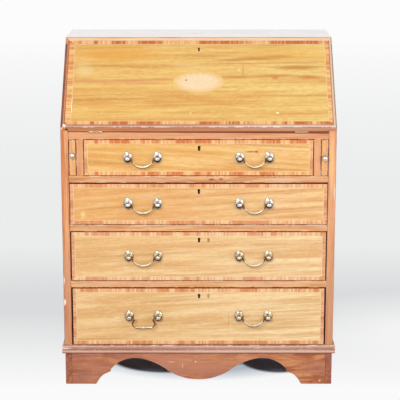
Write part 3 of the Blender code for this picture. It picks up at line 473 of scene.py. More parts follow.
# %% The bands of the drawers and of the fall
across = (1, 0, 0)
upward = (0, 0, 1)
slope = (0, math.sqrt(0.5), math.sqrt(0.5))
band_tones = (
    ("FAC88E", "EE9C5C", "D26A28", "A85624"),
    ("FACA98", "EFA46E", "DE8448", "B06A3C"),
    ("FAD0A2", "F0AC78", "DC8C56", "B07444"),
    ("FACC94", "EFA062", "DA8040", "AA6434"),
)
band_runs = (
    [(-219, 701, 32), (-40, 701, 26), (18, 701, 18), (207, 701, 22), (276, 701, 26), (-127, 616, 14),
     (-66, 616, 26), (105, 616, 22), (190, 616, 24)],
    [(-286, 577, 34), (-110, 577, 20), (147, 577, 22), (-306, 477, 46), (-47, 477, 42), (145, 477, 60)],
    [(-273, 440, 28), (-95, 440, 24), (157, 440, 24), (210, 440, 10), (-286, 312, 32), (146, 312, 24)],
    [(-303, 276, 20), (-99, 276, 18), (-49, 276, 20), (138, 276, 24), (-331, 125, 16),
     (-160, 125, 30), (52, 125, 24), (146, 125, 56), (268, 125, 14)],
)
level_bands = [
    crossband(f"crossband_level_{number}", across, tones, 4.6, 3.3 * number, 0.85, runs)
    for number, (tones, runs) in enumerate(zip(band_tones, band_runs), 1)
]
upright_tones = (
    ("F4BC82", "E4A068", "CC7E48", "9E5A30"),
    ("F0B484", "E29C6C", "C87C4C", "9E5A34"),
    ("EFAF80", "E09C6C", "C87A4C", "9A5632"),
    ("F0B486", "E09C6A", "C47444", "9A5430"),
)
upright_bands = [
    crossband(f"crossband_upright_{number}", upward, tones, 7.0, 5.1 * number, 0.6)
    for number, tones in enumerate(upright_tones, 1)
]
fall_runs = [
    (-228, 957, 21), (-148, 957, 27), (66, 957, 64), (276, 957, 76), (-220, 758, 29), (-148, 758, 26),
    (35, 758, 30), (98, 758, 18), (286, 758, 28), (352, 758, 20),
]
fall_tones = ("FFCC8A", "F2A65C", "CE661E", "A2561E")
fall_band_level = crossband("fall_crossband_level", across, fall_tones, 5.0, 0.4, 0.95, fall_runs)
fall_upright_tones = ("FFCC88", "F6A658", "CE6828", "9A4C1C")
fall_band_upright = crossband("fall_crossband_upright", slope, fall_upright_tones, 8.0, 1.2, 0.9)
lip_top = wood("lip_strip_top", 0, ("FFE0B8", "F6C292", "FBD2AA", "B87E50"), 8.3, (90, 4))
# A pale chip off the fall's lower left corner, with painted shade in the notch below it.
corner_chip_and_notch_shade = [
    (-369.5, 750, 6, 6.5, 1.0, "FFF6EA", 0.4, -225, 14),
    (-363, 739, 4.4, 4.6, 1.0, "1A0C06", 0.3, -225, 14),
]
# The lower lip carries painted light and shade: a pale highlight line along its lower corner at 747.4 mm, a
# dark shade line above it at 751.5 mm, and a paler patch towards the right.
lip_bottom_lit_and_shaded = wood("lip_strip_bottom_lit_and_shaded", 0, ("DCA88C", "BA8468", "D09C88", "845040"), 8.1, (60, 3), pores=0.9,
                  spots=[
    (-40, 747.4, past_all, 1.8, 0.5, "F4D8C4"), (250, 749, 290, 9, 0.8, "F4DCCA"),
    (-20, 751.5, past_all, 1.6, 0.5, "A87058"), *corner_chip_and_notch_shade,
])
# The fall's lower edge face carries painted shade: dark lines under the lip's corner at 744.4 and 738 mm and
# along its foot at 731.6 mm, and a paler patch towards the right.
lip_edge_with_shade = wood("lip_strip_edge_with_shade", 0, ("E6A070", "CA7E50", "DC9C76", "94543A"), 8.9, (110, 3), 1.0, 0.9,
                spots=[
    (0, 744.4, past_all, 1.6, 0.9, "94584A"), (0, 738.0, past_all, 1.3, 0.6, "9C5A44"),
    (250, 741, 260, 7, 0.4, "EAC4AE"), (0, 731.6, past_all, 3.0, 0.9, "84402C"), *corner_chip_and_notch_shade,
])
rubbed_lip = rubbed("worn_lip_arris", 0, "D0987E", "FFF0E0", 9.7, (0.52, 0.58), 1.0)
lip_upright = wood("lip_strip_upright", 2, ("D9926A", "C07048", "D08A60", "84442A"), 8.5, (90, 4), spots=[
    (372, 850, 9, past_all, 0.85, "EACCB0"), *corner_chip_and_notch_shade,
])
# Painted shade for the fall's outer ends, paler at the right end.
lip_side_shade = wood("lip_outside_painted_shade", 2, ("A0563C", "843A26", "9A5240", "542014"), 8.6, (60, 4), spots=[
    (376, 850, 9, past_all, 0.8, "9C8470"),
])
dark_string = surface("dyed_string", tint("985A30"), 0.4)
keyhole_shade = surface("keyhole_shadow", tint("0A0604"), 0.9, Specular_IOR_Level=0.0)
print("bands", [made.name for made in level_bands + upright_bands + [fall_band_level, fall_band_upright]])

# %% [markdown]
# ## Metal and leather
#
# The handles are cast brass, once plated or lacquered and now worn to a pale, silvery grey, with
# brown tarnish where no hand reaches. Their undersides, and the rose under each ball, are also
# painted dark as shade, and the tops of the balls and the feet of the roses carry painted
# reflections. Hinges and locks are plain drawn brass. The writing surface is a thin skiver of
# leather with gilt lines, as nearly all such desks have.

# %% Brass and leather
def worn_brass(name, bright, tarnish, amount, roughness, grain=6):
    """Cast brass with cloudy tarnish."""
    def colour(tree):
        return glazed(tree, tint(bright),
                      (blots(tree, [grain] * 3, 4.1, (0.46, 0.66), (0, amount), 4.0, 0.4), tint(tarnish)))

    def gloss(tree):
        return blots(tree, (5, 5, 5), 0.0, (0.3, 0.7), (roughness - 0.07, roughness + 0.1), 3.0)

    def height(tree):
        return blots(tree, (1.6, 1.6, 1.6))

    return surface(name, colour, gloss, height, 0.03, Metallic=1.0)


handle_brass = worn_brass("handle_brass_worn", "DEDAD2", "948A7C", 0.55, 0.15, 8)
antique_brass = worn_brass("handle_brass_antique", "DACBAC", "86704C", 0.65, 0.18, 8)
rubbed_brass = (handle_brass, antique_brass)
brass_tarnish_and_shade = worn_brass("handle_brass_tarnish_and_painted_shade", "3C2E24", "1E1410", 0.6, 0.45)
ball_crown_reflection = worn_brass("handle_brass_painted_crown_reflection", "9C948C", "6C625C", 0.7, 0.2)
rose_foot_reflection = worn_brass("handle_brass_painted_foot_reflection", "C4B098", "94785A", 0.7, 0.35)
bail_brass = worn_brass("bail_brass_worn", "D8C6A6", "A4835C", 0.5, 0.42, 12)
bail_underside_shade = worn_brass("bail_brass_painted_underside_shade", "8A5430", "5A3218", 0.6, 0.5)
hinge_brass = worn_brass("hinge_brass_plain", "C4A888", "8A6A4C", 0.6, 0.5)
gilt = worn_brass("gilt_line", "D8B056", "9A7434", 0.4, 0.30)


def leather_colour(tree):
    faded = blots(tree, (120, 90, 90), 0.0, (0.40, 0.70), (0, 0.8), 4.0)
    return glazed(tree, tint("3E4A2C"), (faded, tint("5F6640")))


def leather_grain(tree):
    grain = 1 / (1.4 * millimetre)
    return add(tree, "ShaderNodeTexVoronoi", {"Vector": place(tree), "Scale": grain}, out="Distance")


leather = surface("writing_leather_skiver", leather_colour, 0.52, leather_grain, 0.12)
print("finishes so far", len(bpy.data.materials))

# %% [markdown]
# ## Tools for the pieces
#
# A CAD node's mesh is loose triangles, so a copy is merged into whole faces before anything is cut
# or rounded. Real edges are never sharp: an arris catches light, which is half of what makes a board
# look like wood and not like paper. `ease` rounds edges over. How squarely a face looks one way is
# the cosine of its angle. A piece's slot 0, the core, has its main finish, and on most boards slot 1
# has that of its worn edges.

# %% Copy, ease, finish
weld = 0.01 * millimetre
flat_angle = math.radians(0.6)
curve_angle = math.radians(35)
square_angle = math.radians(50)
facing_square = 0.99
facing_near = 0.9
facing_eased = 0.6
facing_half = 0.5
facing_slight = 0.2
core = 0
worn_edge = 1
piece_sizes = {}


def middle_of(face):
    return face.calc_center_median()


def move(bm, matrix):
    bmesh.ops.transform(bm, matrix=matrix, verts=bm.verts)


def paint(bm, slot, chosen):
    """Gives a material slot to every face that passes a test."""
    for face in bm.faces:
        if chosen(face):
            face.material_index = slot


def copy_of(node):
    """A bmesh of a CAD node with whole faces, where the faces of curves are shaded smoothly."""
    bm = bmesh.new()
    bm.from_mesh(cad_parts[node].data)
    bmesh.ops.remove_doubles(bm, verts=bm.verts, dist=weld)
    bmesh.ops.dissolve_limit(bm, angle_limit=flat_angle, verts=bm.verts, edges=bm.edges)
    for face in bm.faces:
        face.smooth = False
        face.material_index = core
    for edge in bm.edges:
        angle = edge.calc_face_angle(0)
        edge.smooth = angle < curve_angle
        if flat_angle < angle < curve_angle:
            for face in edge.link_faces:
                face.smooth = True
    return bm


def front_edges(bm, look, shortest):
    """The sharp outer edges of the faces that look along a direction."""
    return [
        edge for edge in bm.edges
        if edge.calc_length() >= shortest * millimetre and edge.is_convex
        and edge.calc_face_angle(0) > square_angle
        and any(face.normal.dot(look) > facing_eased for face in edge.link_faces)
    ]


def ease(bm, edges, width, slot):
    """Rounds edges over by a width in millimetres and gives the new faces a material slot."""
    made = bmesh.ops.bevel(
        bm, geom=edges, offset=width * millimetre, offset_type="OFFSET", affect="EDGES", segments=2,
        profile=0.5, clamp_overlap=True, material=-1,
    )
    for face in made["faces"]:
        face.smooth = True
        face.material_index = slot


def finished(bm, name, body, materials, replaced=(), rounded=False):
    """Makes a bmesh a piece of the desk, which rides on a body and takes a slot's finish."""
    mesh = bpy.data.meshes.new(name)
    faces = len(bm.faces)
    bm.to_mesh(mesh)
    bm.free()
    for material in materials:
        mesh.materials.append(material)
    if rounded:
        mesh.shade_smooth()
        mesh.set_sharp_from_angle(angle=curve_angle)
    piece = bpy.data.objects.new(name, mesh)
    scene.collection.objects.link(piece)
    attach(piece, body)
    if replaced:
        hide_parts(*replaced)
    piece_sizes[name] = faces
    return piece


# %% [markdown]
# ## Veneer rings
#
# A veneered front is a field with rings of border round it, mitred at the corners. On the mesh this
# is a face scored like paper: the piece is turned until the face lies flat, `bisect_plane` scores it
# along each ring and at the mitres, and each new face takes the material of the ring that it lies
# in. The shape doesn't change, so the borders are true inlay and not strips on top.

# %% Score a face with rings
def top_faces(bm, level):
    return [f for f in bm.faces if f.normal.z > facing_square and abs(middle_of(f).z - level) < weld * 5]


def score(bm, faces, point, normal):
    """Cuts faces along a plane, without opening the mesh."""
    geom = set(faces)
    for face in faces:
        geom.update(face.edges)
        geom.update(face.verts)
    bmesh.ops.bisect_plane(bm, geom=list(geom), dist=weld, plane_co=point, plane_no=normal)


def inlay(bm, laid, rings, field):
    """Scores nested rings into the face that `laid` turns up, and gives each ring its slots.

    A ring is its width at the left, right, bottom and top in millimetres, and its level and upright slots.
    """
    move(bm, laid)
    level = max(vert.co.z for vert in bm.verts)
    corners = [vert.co.copy() for face in top_faces(bm, level) for vert in face.verts]
    boxes = [[pick(corner[axis] for corner in corners) for axis in (0, 1) for pick in (min, max)]]
    for widths, _ in rings:
        inner = [edge + inward * width * millimetre
                 for edge, inward, width in zip(boxes[-1], (1, -1, 1, -1), widths)]
        for index, here in enumerate(inner):
            line = Vector((1, 0, 0) if index < 2 else (0, 1, 0))
            score(bm, top_faces(bm, level), line * here, line)
        mitre(bm, level, boxes[-1], inner)
        boxes.append(inner)
    for face in top_faces(bm, level):
        face.material_index = ring_slot(middle_of(face), boxes, rings, field)
    move(bm, laid.inverted())


def mitre(bm, level, outer, inner):
    """Scores the four corners of a ring along the line from its outer to its inner corner."""
    for side, end in ((0, 2), (0, 3), (1, 2), (1, 3)):
        start = Vector((outer[side], outer[end], level))
        stop = Vector((inner[side], inner[end], level))
        line = stop - start
        corner = [
            face for face in top_faces(bm, level)
            if all((middle_of(face)[axis] - stop[axis]) * line[axis] < 0
                   < (middle_of(face)[axis] - start[axis]) * line[axis] for axis in (0, 1))
        ]
        score(bm, corner, start, (line.y, -line.x, 0))


def ring_slot(middle, boxes, rings, field):
    """The material slot of a point: that of the first ring it lies in, or the field's."""
    for (left, right, low, high), inner, (widths, slots) in zip(boxes, boxes[1:], rings):
        if inner[0] < middle.x < inner[1] and inner[2] < middle.y < inner[3]:
            continue
        upright = min((middle.x - left) / widths[0], (right - middle.x) / widths[1])
        level = min((middle.y - low) / widths[2], (high - middle.y) / widths[3])
        return slots[0] if level < upright else slots[1]
    return field


# %% [markdown]
# ## The drawer fronts
#
# Each front is a mahogany core with a satinwood field, a crossband of about 10 mm and a thin boxwood
# string between them. The copy keeps the CAD's keyhole and the sockets of its dovetails, which show
# when the drawer is open.

# %% Drawer fronts
front_up = Matrix.Rotation(math.radians(-90), 4, "X")
key_drop = 23.0
key_reach = (5.0, 12.0)
key_depth = 3.0


def rim_edges(bm, low, high):
    """The four outer edges of a rectangular front."""
    def on_rim(point):
        ends = [min(abs(point[axis] - low[axis]), abs(point[axis] - high[axis])) < weld for axis in (0, 2)]
        return abs(point.y - low.y) < weld and any(ends)

    chosen = []
    for edge in bm.edges:
        first, second = [vert.co for vert in edge.verts]
        straight = abs(first.x - second.x) < weld or abs(first.z - second.z) < weld
        if straight and all(on_rim(point) for point in (first, second, (first + second) / 2)):
            chosen.append(edge)
    return chosen


def make_front(number):
    """A front, whose slots after the core stand in the order of its looks."""
    field, level, upright, string, hole, worn, gap_shade = range(1, 8)
    node = f"drawer_front_{number}"
    low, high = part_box(node)
    bm = copy_of(node)
    inlay(bm, front_up, [((9.6, 9.6, 10.6, 10.6), (level, upright)), ((1.3,) * 4, (string, string))], field)
    # The keyhole's faces take the painted keyhole shade, and the front's edge faces, which stand in the gaps,
    # take the painted gap shade.
    key = Vector(((low.x + high.x) / 2, low.y, high.z - key_drop * millimetre))
    for face in bm.faces:
        away = (middle_of(face) - key) / millimetre
        if abs(away.x) < key_reach[0] and abs(away.z) < key_reach[1] \
                and (abs(face.normal.y) < facing_near or away.y > key_depth):
            face.material_index = hole
        elif abs(face.normal.y) < facing_half and face.material_index == core:
            face.material_index = gap_shade
    ease(bm, rim_edges(bm, low, high), 0.6, gap_shade)
    paint(bm, worn, lambda face: face.smooth and face.material_index == gap_shade
          and (abs(face.normal.x) > facing_slight or face.normal.z < -facing_slight))
    looks = [mahogany_level, front_satinwoods[number - 1], level_bands[number - 1], upright_bands[number - 1],
             boxwood, keyhole_shade, rubbed_satinwood, gap_shade_and_grime]
    return finished(bm, f"veneered_front_{number}", f"drawer_{number}", looks, [node])


for number in drawers:
    make_front(number)
print("drawer fronts", {name: size for name, size in piece_sizes.items() if "front" in name})

# %% [markdown]
# ## The fall
#
# The fall slopes at 45 degrees, so it is turned about the x axis until its outer face lies flat. Its
# border has more rings than a drawer's: a solid lip strip at the edge, a dark string, the crossband
# and a light string. The widths differ from side to side, because the lips were fitted and planed
# after the panel was veneered.

# %% The fall's veneers
fall_turn = Matrix.Rotation(math.radians(-45), 4, "X")
fall_flat = [fall_turn @ vert.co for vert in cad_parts["fall_panel"].data.vertices]
fall_low, fall_high = [
    Vector([pick(spot[axis] for spot in fall_flat) for axis in range(3)]) for pick in (min, max)
]
arris_reach = 2.0
lip_reach = 12.0
outside_reach = 6.0
outside_facing = 0.4
edge_facing = 0.95
fall_key_drop = 41.5
fall_key_reach = (5.0, 8.0)
fall_key_depths = (0.5, 13.5)
print("the fall laid flat", tuple(round(size / millimetre, 1) for size in fall_high - fall_low), "mm")


def fall_edges(bm):
    """Every long outer edge of the fall's slab, front and lips."""
    def on_rim(spot):
        ends = [abs(spot[axis] - bound[axis]) for axis in (0, 1) for bound in (fall_low, fall_high)]
        return max(min(ends), abs(spot.z - fall_high.z)) < weld * 3

    return [edge for edge in bm.edges if edge.calc_face_angle(0) > square_angle
            and all(on_rim(fall_turn @ vert.co) for vert in edge.verts)]


def make_fall():
    """The fall, whose slots after the core stand in the order of its looks."""
    (field, low_lip, side_lip, dark_line, level, upright, light_line, arris, hole, top_lip, edge_lip, rim,
     outside) = range(1, 14)
    bm = copy_of("fall_panel")
    inlay(bm, fall_turn, [
        ((0.8, 0.8, 2.2, 2.2), (rim, side_lip)), ((3.2, 5.0, 6.8, 7.8), (low_lip, side_lip)),
        ((1.6, 1.6, 0.8, 0.3), (dark_line, dark_line)), ((15.6, 10.4, 10.4, 12.4), (level, upright)),
        ((1.5,) * 4, (light_line, light_line)),
    ], field)
    ease(bm, fall_edges(bm), 0.9, arris)
    for face in bm.faces:
        middle = fall_turn @ middle_of(face)
        below, behind = [(fall_high[axis] - middle[axis]) / millimetre for axis in (1, 2)]
        if face.material_index == arris and below < arris_reach:
            face.material_index = dark_line
        if face.material_index in {low_lip, rim} and below < lip_reach:
            face.material_index = top_lip
        elif face.material_index == core and face.normal.dot(Vector(slope)) < -edge_facing:
            face.material_index = edge_lip
        # Faces at the fall's outer ends take their painted shade.
        if abs(face.normal.x) > outside_facing \
                and abs(middle.x) > fall_high.x - outside_reach * millimetre:
            face.material_index = outside
        keyed = abs(middle.x) < fall_key_reach[0] * millimetre \
            and abs(below - fall_key_drop) < fall_key_reach[1] \
            and fall_key_depths[0] < behind < fall_key_depths[1]
        if face.material_index == core and keyed:
            face.material_index = hole
    looks = [mahogany_level, fall_satinwood, lip_bottom_lit_and_shaded, lip_upright, dark_string, fall_band_level,
             fall_band_upright, boxwood, rubbed_lip, keyhole_shade, lip_top, lip_edge_with_shade, rubbed_lip, lip_side_shade]
    return finished(bm, "veneered_fall", "fall", looks, ["fall_panel"])


make_fall()
print("fall", piece_sizes["veneered_fall"], "faces")

# %% [markdown]
# ## The shell inlay
#
# An oval with a shell is the favourite ornament of this taste. The shell is cut from pale sycamore,
# and each flute is dipped in hot sand so that one of its sides scorches. Here it is an oval of thin
# veneer laid into the fall, and its flutes are drawn by an angle round the shell's hinge.

# %% The shell
shell_half = Vector((0.0725, 0.0375))
shell_rise = 0.155
shell_thickness = 0.15 * millimetre
shell_middle = Vector((0, fall_low.y + shell_rise, fall_high.z))
hinge_drop = 0.030
flutes_per_radian = 3.4


def shell_colour(tree):
    """A fan of flutes, each faintly scorched along one side, worn thin towards the rim."""
    flat = add(tree, "ShaderNodeVectorRotate", {"Vector": place(tree), "Rotation": (math.radians(-45), 0, 0)},
               rotation_type="EULER_XYZ")
    fan = add(tree, "ShaderNodeMapping", {"Vector": flat, "Location": (0, hinge_drop - shell_middle.y, 0)})
    angle = maths(tree, "ARCTAN2", part_of(tree, fan, 0), part_of(tree, fan, 1))
    inside = maths(tree, "FRACT", maths(tree, "MULTIPLY", angle, flutes_per_radian))
    solid = patch(tree, fall_turn.inverted() @ shell_middle / millimetre, (72, 35, 35), 1.0, 0.4)
    swirled = blots(tree, (26, 9, 9), 0.6, (0.42, 0.66), (0, 0.6), 3.0, 1.0)
    return glazed(
        tree, tint("F2C676"),
        (solid, tint("FCE0B4")),
        (maths(tree, "MULTIPLY", swirled, solid), tint("F9D2AA")),
        (ramp(tree, inside, 0.55, 1.0, top=0.16), tint("E0AE78")),
        (patch(tree, (-35, -113, 861), (4, 40, 3)), tint("A87850")),
    )


def make_shell():
    bm = bmesh.new()
    disc = bmesh.ops.create_circle(bm, cap_ends=True, segments=72, radius=1.0)
    bmesh.ops.scale(bm, vec=(*shell_half, 1), verts=disc["verts"])
    top = bmesh.ops.extrude_face_region(bm, geom=list(bm.faces))
    lifted = [item for item in top["geom"] if isinstance(item, bmesh.types.BMVert)]
    bmesh.ops.translate(bm, vec=(0, 0, shell_thickness * 2), verts=lifted)
    bmesh.ops.recalc_face_normals(bm, faces=bm.faces)
    move(bm, fall_turn.inverted() @ Matrix.Translation(shell_middle - Vector((0, 0, shell_thickness))))
    sycamore = surface("sand_shaded_sycamore", shell_colour, 0.36, Coat_Weight=0.15,
                       Coat_Roughness=coat_roughness)
    return finished(bm, "shell_inlay", "fall", [sycamore])


make_shell()
print("shell at", tuple(round(value, 3) for value in fall_turn.inverted() @ shell_middle))

# %% [markdown]
# ## The case
#
# The boards of the case are copies of the CAD boards with eased edges. Only the edges that face the
# room are rounded: those inside joints stay crisp, as a joiner leaves them. The slanted edges of the
# sides are painted darker, as the shade under the fall's lips, deeper on the left than on the right.

# %% Boards of the case
left = Vector((-1, 0, 0))
right = Vector((1, 0, 0))
forward = Vector((0, -1, 0))
upwards = Vector((0, 0, 1))
slanted = Vector((0, -math.sqrt(0.5), math.sqrt(0.5)))
outward = dict(zip(sides, (left, right)))
worn_strip = 1.3


def strips(bm, axis, width=worn_strip, slot=worn_edge):
    """Scores a narrow strip along both ends of a board's front face and gives the strips a slot."""
    ends = [pick(vert.co[axis] for vert in bm.verts) for pick in (min, max)]
    line = Vector([float(index == axis) for index in range(3)])
    for level in (ends[0] + width * millimetre, ends[1] - width * millimetre):
        score(bm, [face for face in bm.faces if face.normal.y < -facing_square], line * level, line)
    paint(bm, slot, lambda face: face.normal.y < -facing_square and min(
        middle_of(face)[axis] - ends[0], ends[1] - middle_of(face)[axis]) < width * millimetre)


def off_joint(edge, joint):
    """Whether an edge lies away from the planes at a distance left and right of the middle."""
    return any(abs(abs(vert.co.x) - joint) > millimetre for vert in edge.verts)


def board(name, node, look, width=0.7, views=(forward,), rub=rubbed_level, asides=(), worn=None,
          home="carcass", crisp=None, shortest=6.0):
    """A board with the edges eased that the given views see.

    An aside is a direction and the finish of the faces that look that way. `worn` is the axis across
    which strips of the front have worn, and `crisp` the distance from the middle at which edges stay.
    """
    bm = copy_of(node)
    first_aside = worn_edge + 1
    for index, (direction, _) in enumerate(asides, first_aside):
        paint(bm, index, lambda face: face.normal.dot(direction) > facing_near)
    if worn is not None:
        strips(bm, worn)
    edges = set()
    for view in views:
        edges.update(front_edges(bm, view, shortest))
    ease(bm, [edge for edge in edges if not crisp or off_joint(edge, crisp)], width, worn_edge)
    # On the sides, the eased faces along the slanted edge take that edge's painted shade.
    if slanted in views:
        paint(bm, first_aside, lambda face: face.material_index == worn_edge
              and face.normal.dot(slanted) > facing_half)
    return finished(bm, name, home, [look, rub] + [finish for _, finish in asides], [node])


# The undersides of the rails and floor board and the sides of the loper guides face into gaps and take the
# painted gap shade.
gap_shade_below = ((-upwards, gap_shade_and_grime),)
gap_shade_beside = ((left, gap_shade_and_grime), (right, gap_shade_and_grime))
for side, slant in zip(sides, (slant_shade_left, slant_shade_right)):
    board(f"eased_side_{side}", f"side_{side}", mahogany_upright, 0.8, (forward, outward[side], slanted),
          rubbed_upright, ((slanted, slant),), 0)
    board(f"eased_guide_{side}", f"loper_guide_{side}", mahogany_upright, 0.5, (forward,), rubbed_upright,
          gap_shade_beside, 0)
for number in drawers[:-1]:
    board(f"eased_divider_{number}", f"divider_{number}", mahogany_level, asides=gap_shade_below, worn=2)
board("eased_floor_board", "bottom_board", mahogany_level, 0.5, asides=gap_shade_below)
board("eased_top", "top_board", polished_top, 0.8, (upwards, slanted), asides=((slanted, mahogany_level),))
print("case boards", len([name for name in piece_sizes if name.startswith("eased")]))

# %% [markdown]
# The front of the writing bed is painted darker under the fall's lip, as the shade the lip casts
# there, with some dust. The painted shade is wider towards the right, because the fall has dropped a
# little there, so the front is scored along a slightly sloping line.

# %% The writing bed
shade_width_left = 0.8
shade_width_right = 5.5


def make_bed():
    under_lip, under = 2, 3
    bm = copy_of("writing_bed")
    low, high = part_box("writing_bed")
    strips(bm, 2)
    shade_line_left = Vector((low.x, 0, high.z - shade_width_left * millimetre))
    shade_line_right = Vector((high.x, 0, high.z - shade_width_right * millimetre))
    line = shade_line_right - shade_line_left
    score(bm, [face for face in bm.faces if face.normal.y < -facing_square], shade_line_left, (-line.z, 0, line.x))
    # Faces above the sloping line and the eased top arris take the painted shade under the lip; the underside
    # takes the painted gap shade.
    for face in bm.faces:
        away = middle_of(face) - shade_line_left
        if face.normal.y < -facing_square and away.z * line.x > away.x * line.z:
            face.material_index = under_lip
        elif face.normal.z < -facing_near:
            face.material_index = under
    ease(bm, front_edges(bm, forward, 6.0), 0.8, worn_edge)
    paint(bm, under_lip, lambda face: face.smooth and middle_of(face).z > high.z - 2 * millimetre)
    return finished(bm, "eased_bed", "carcass", [mahogany_level, rubbed_level, lip_shade_and_dust, gap_shade_and_grime],
                    ["writing_bed"])


lip_shade_and_dust = wood("lip_shade_and_dust", 0, ("8A4A34", "6E3424", "7C4234", "4A2014"), 7.1, (60, 3), gloss=0.6, coat=0.0)
make_bed()
print("bed", piece_sizes["eased_bed"], "faces")

# %% [markdown]
# ## The base
#
# The base moulding keeps its CAD section of two beads over a band. The apron and the brackets are
# sawn from one board each, and their sawn edges have been rubbed by feet and brooms, so they get a
# wider rounding and a paler worn line than the case. The joint between apron and bracket stays
# crisp, with a hairline of dirt along it.

# %% Moulding, apron and brackets
joint_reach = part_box("front_apron")[1].x
joint_dirt = 0.9
moulding_tones = ("D6A68E", "B27A62", "CAA292", "6E3E2C")
# Long lines of painted light and shade: pale highlight lines at 114.4 and 99.6 mm, painted shade lines at
# 107.6 mm and at the moulding's foot at 94.2 mm, and two paler patches.
moulding_highlights_and_shade = [
    (150, 106, 360, 14, 0.6, "E8CABA"), (0, 114.4, past_all, 1.8, 0.5, "E8C0AC"),
    (0, 107.6, past_all, 1.9, 0.8, "8A5848"), (0, 99.6, past_all, 2.8, 0.7, "EEC0A6"),
    (0, 94.2, past_all, 2.0, 0.9, "80422E"), (-386, 109, 30, 5, 0.9, "F4E4DA"),
]
moulding_level = wood("moulding_level", 0, moulding_tones, 3.4, (140, 3), 1.0, 0.7, 0.42,
                      spots=moulding_highlights_and_shade)
moulding_deep = wood("moulding_deep", 1, moulding_tones, 3.6, (140, 3), 1.0, 0.7, 0.42)
rubbed_moulding = rubbed("rubbed_moulding", 0, "B07458", "F0D4C2", 2.2, (0.56, 0.66), 0.7)
apron = copy_of("front_apron")
strips(apron, 0, joint_dirt, worn_edge + 1)
ease(apron, [edge for edge in front_edges(apron, forward, 1.0) if off_joint(edge, joint_reach)], 0.8,
     worn_edge)
finished(apron, "eased_apron", "carcass", [base_level, rubbed_base, gap_shade_and_grime], ["front_apron"])
for side in sides:
    board(f"eased_bracket_{side}", f"side_bracket_{side}", base_deep, 0.8, (forward, outward[side]),
          rubbed_base, crisp=joint_reach, shortest=1.0)
moulding = copy_of("base_moulding")
levels = sorted({round(vert.co.z / millimetre, 2) for vert in moulding.verts})
returned, upper = 1, 2
paint(moulding, returned, lambda face: abs(face.normal.x) > facing_half)
paint(moulding, upper, lambda face: face.normal.z > facing_half)
finished(moulding, "beaded_moulding", "carcass",
         [moulding_level, moulding_deep, rubbed_moulding], ["base_moulding"])
print("moulding levels", levels)

# %% [markdown]
# ## Lopers
#
# Each loper shows a narrow face beside the top drawer. It is faced with the same pale veneer as the
# drawers, with a fine string at its edges.

# %% Lopers
loper_veneer = wood("loper_veneer", 2, ("F0BC7E", "DE9858", "E8AC78", "A06A40"), 9.3, (120, 5))
gap_shade_reach = 60.0


def make_loper(side):
    field, string, gap_shade = range(1, 4)
    node = f"loper_{side}"
    low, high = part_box(node)
    bm = copy_of(node)
    inlay(bm, front_up, [((1.4,) * 4, (string, string))], field)
    # The loper's sides near its front stand in the gaps and take the painted gap shade.
    paint(bm, gap_shade, lambda face: abs(face.normal.y) < facing_half
          and middle_of(face).y < low.y + gap_shade_reach * millimetre)
    ease(bm, rim_edges(bm, low, high), 0.5, string)
    return finished(bm, f"veneered_loper_{side}", node,
                    [mahogany_deep, loper_veneer, rubbed_satinwood, gap_shade_and_grime], [node])


for side in sides:
    make_loper(side)
print("lopers", piece_sizes["veneered_loper_left"], "faces each")

# %% [markdown]
# ## Turned brass
#
# The posts and knobs are turned, so each is a profile spun about its axis. A profile is a list of
# radius and reach, from the tip inwards. The post is a ball on a short neck with a small collar, and
# the rose behind it is spun round too and then stretched to its oval. Slot 1 of a brass piece is its
# darker finish: tarnish in the hollows that no cloth reaches, and painted shade under a ball, on an
# underside or behind a keyhole.

# %% A lathe and a few profiles
darker = 1


def lathe(profile, steps=32):
    """Spins a profile of (radius, reach) points in millimetres about the z axis."""
    bm = bmesh.new()
    rim = [bm.verts.new((radius * millimetre, 0, reach * millimetre)) for radius, reach in profile]
    edges = [bm.edges.new(pair) for pair in zip(rim, rim[1:])]
    bmesh.ops.spin(
        bm, geom=rim + edges, cent=(0, 0, 0), axis=(0, 0, 1), dvec=(0, 0, 0), angle=math.tau,
        steps=steps, use_merge=True, use_duplicate=False,
    )
    bmesh.ops.remove_doubles(bm, verts=bm.verts, dist=weld)
    bmesh.ops.recalc_face_normals(bm, faces=bm.faces)
    return bm


def ball_profile(radius, reach, neck, steps=10):
    """The part of a ball's outline from its tip down to where a neck meets it."""
    last = -90 + math.degrees(math.asin(neck / radius))
    turns = [math.radians(90 + (last - 90) * step / steps) for step in range(steps + 1)]
    points = [(radius * math.cos(turn), reach + radius * math.sin(turn)) for turn in turns]
    return [(0, reach + radius)] + points[1:]


def join(bm, other, matrix):
    """Adds another bmesh, moved by a matrix, and frees it."""
    move(other, matrix)
    carried = bpy.data.meshes.new("carried")
    other.to_mesh(carried)
    other.free()
    bm.from_mesh(carried)
    bpy.data.meshes.remove(carried)


def turned_brass(bm, name, body, looks, node, reach):
    """Stands a turned piece in its node's place, with its tip a reach away from its profile's zero."""
    low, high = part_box(node)
    middle = (low + high) / 2
    move(bm, Matrix.Translation((middle.x, low.y + reach * millimetre, middle.z)) @ facing_out)
    return finished(bm, name, body, looks, [node], rounded=True)


facing_out = Matrix.Rotation(math.radians(90), 4, "X")
post_reach = 17.0
ball_radius = 7.8
neck_radius = 3.6
print("a ball profile has", len(ball_profile(ball_radius, post_reach, neck_radius)), "points")

# %% Handle posts
rose_half = Vector((13.3, 16.3))
rose_groove = (11.0, 11.9)
rose_edge = 1.6
rose_shade = (5.0, 9.6)
rose_foot_drop = 9.0
neck_foot = 5.0
neck_half = 4.3
ball_foot = 9.3
ball_waist = 15.5
shank_end = -22.0


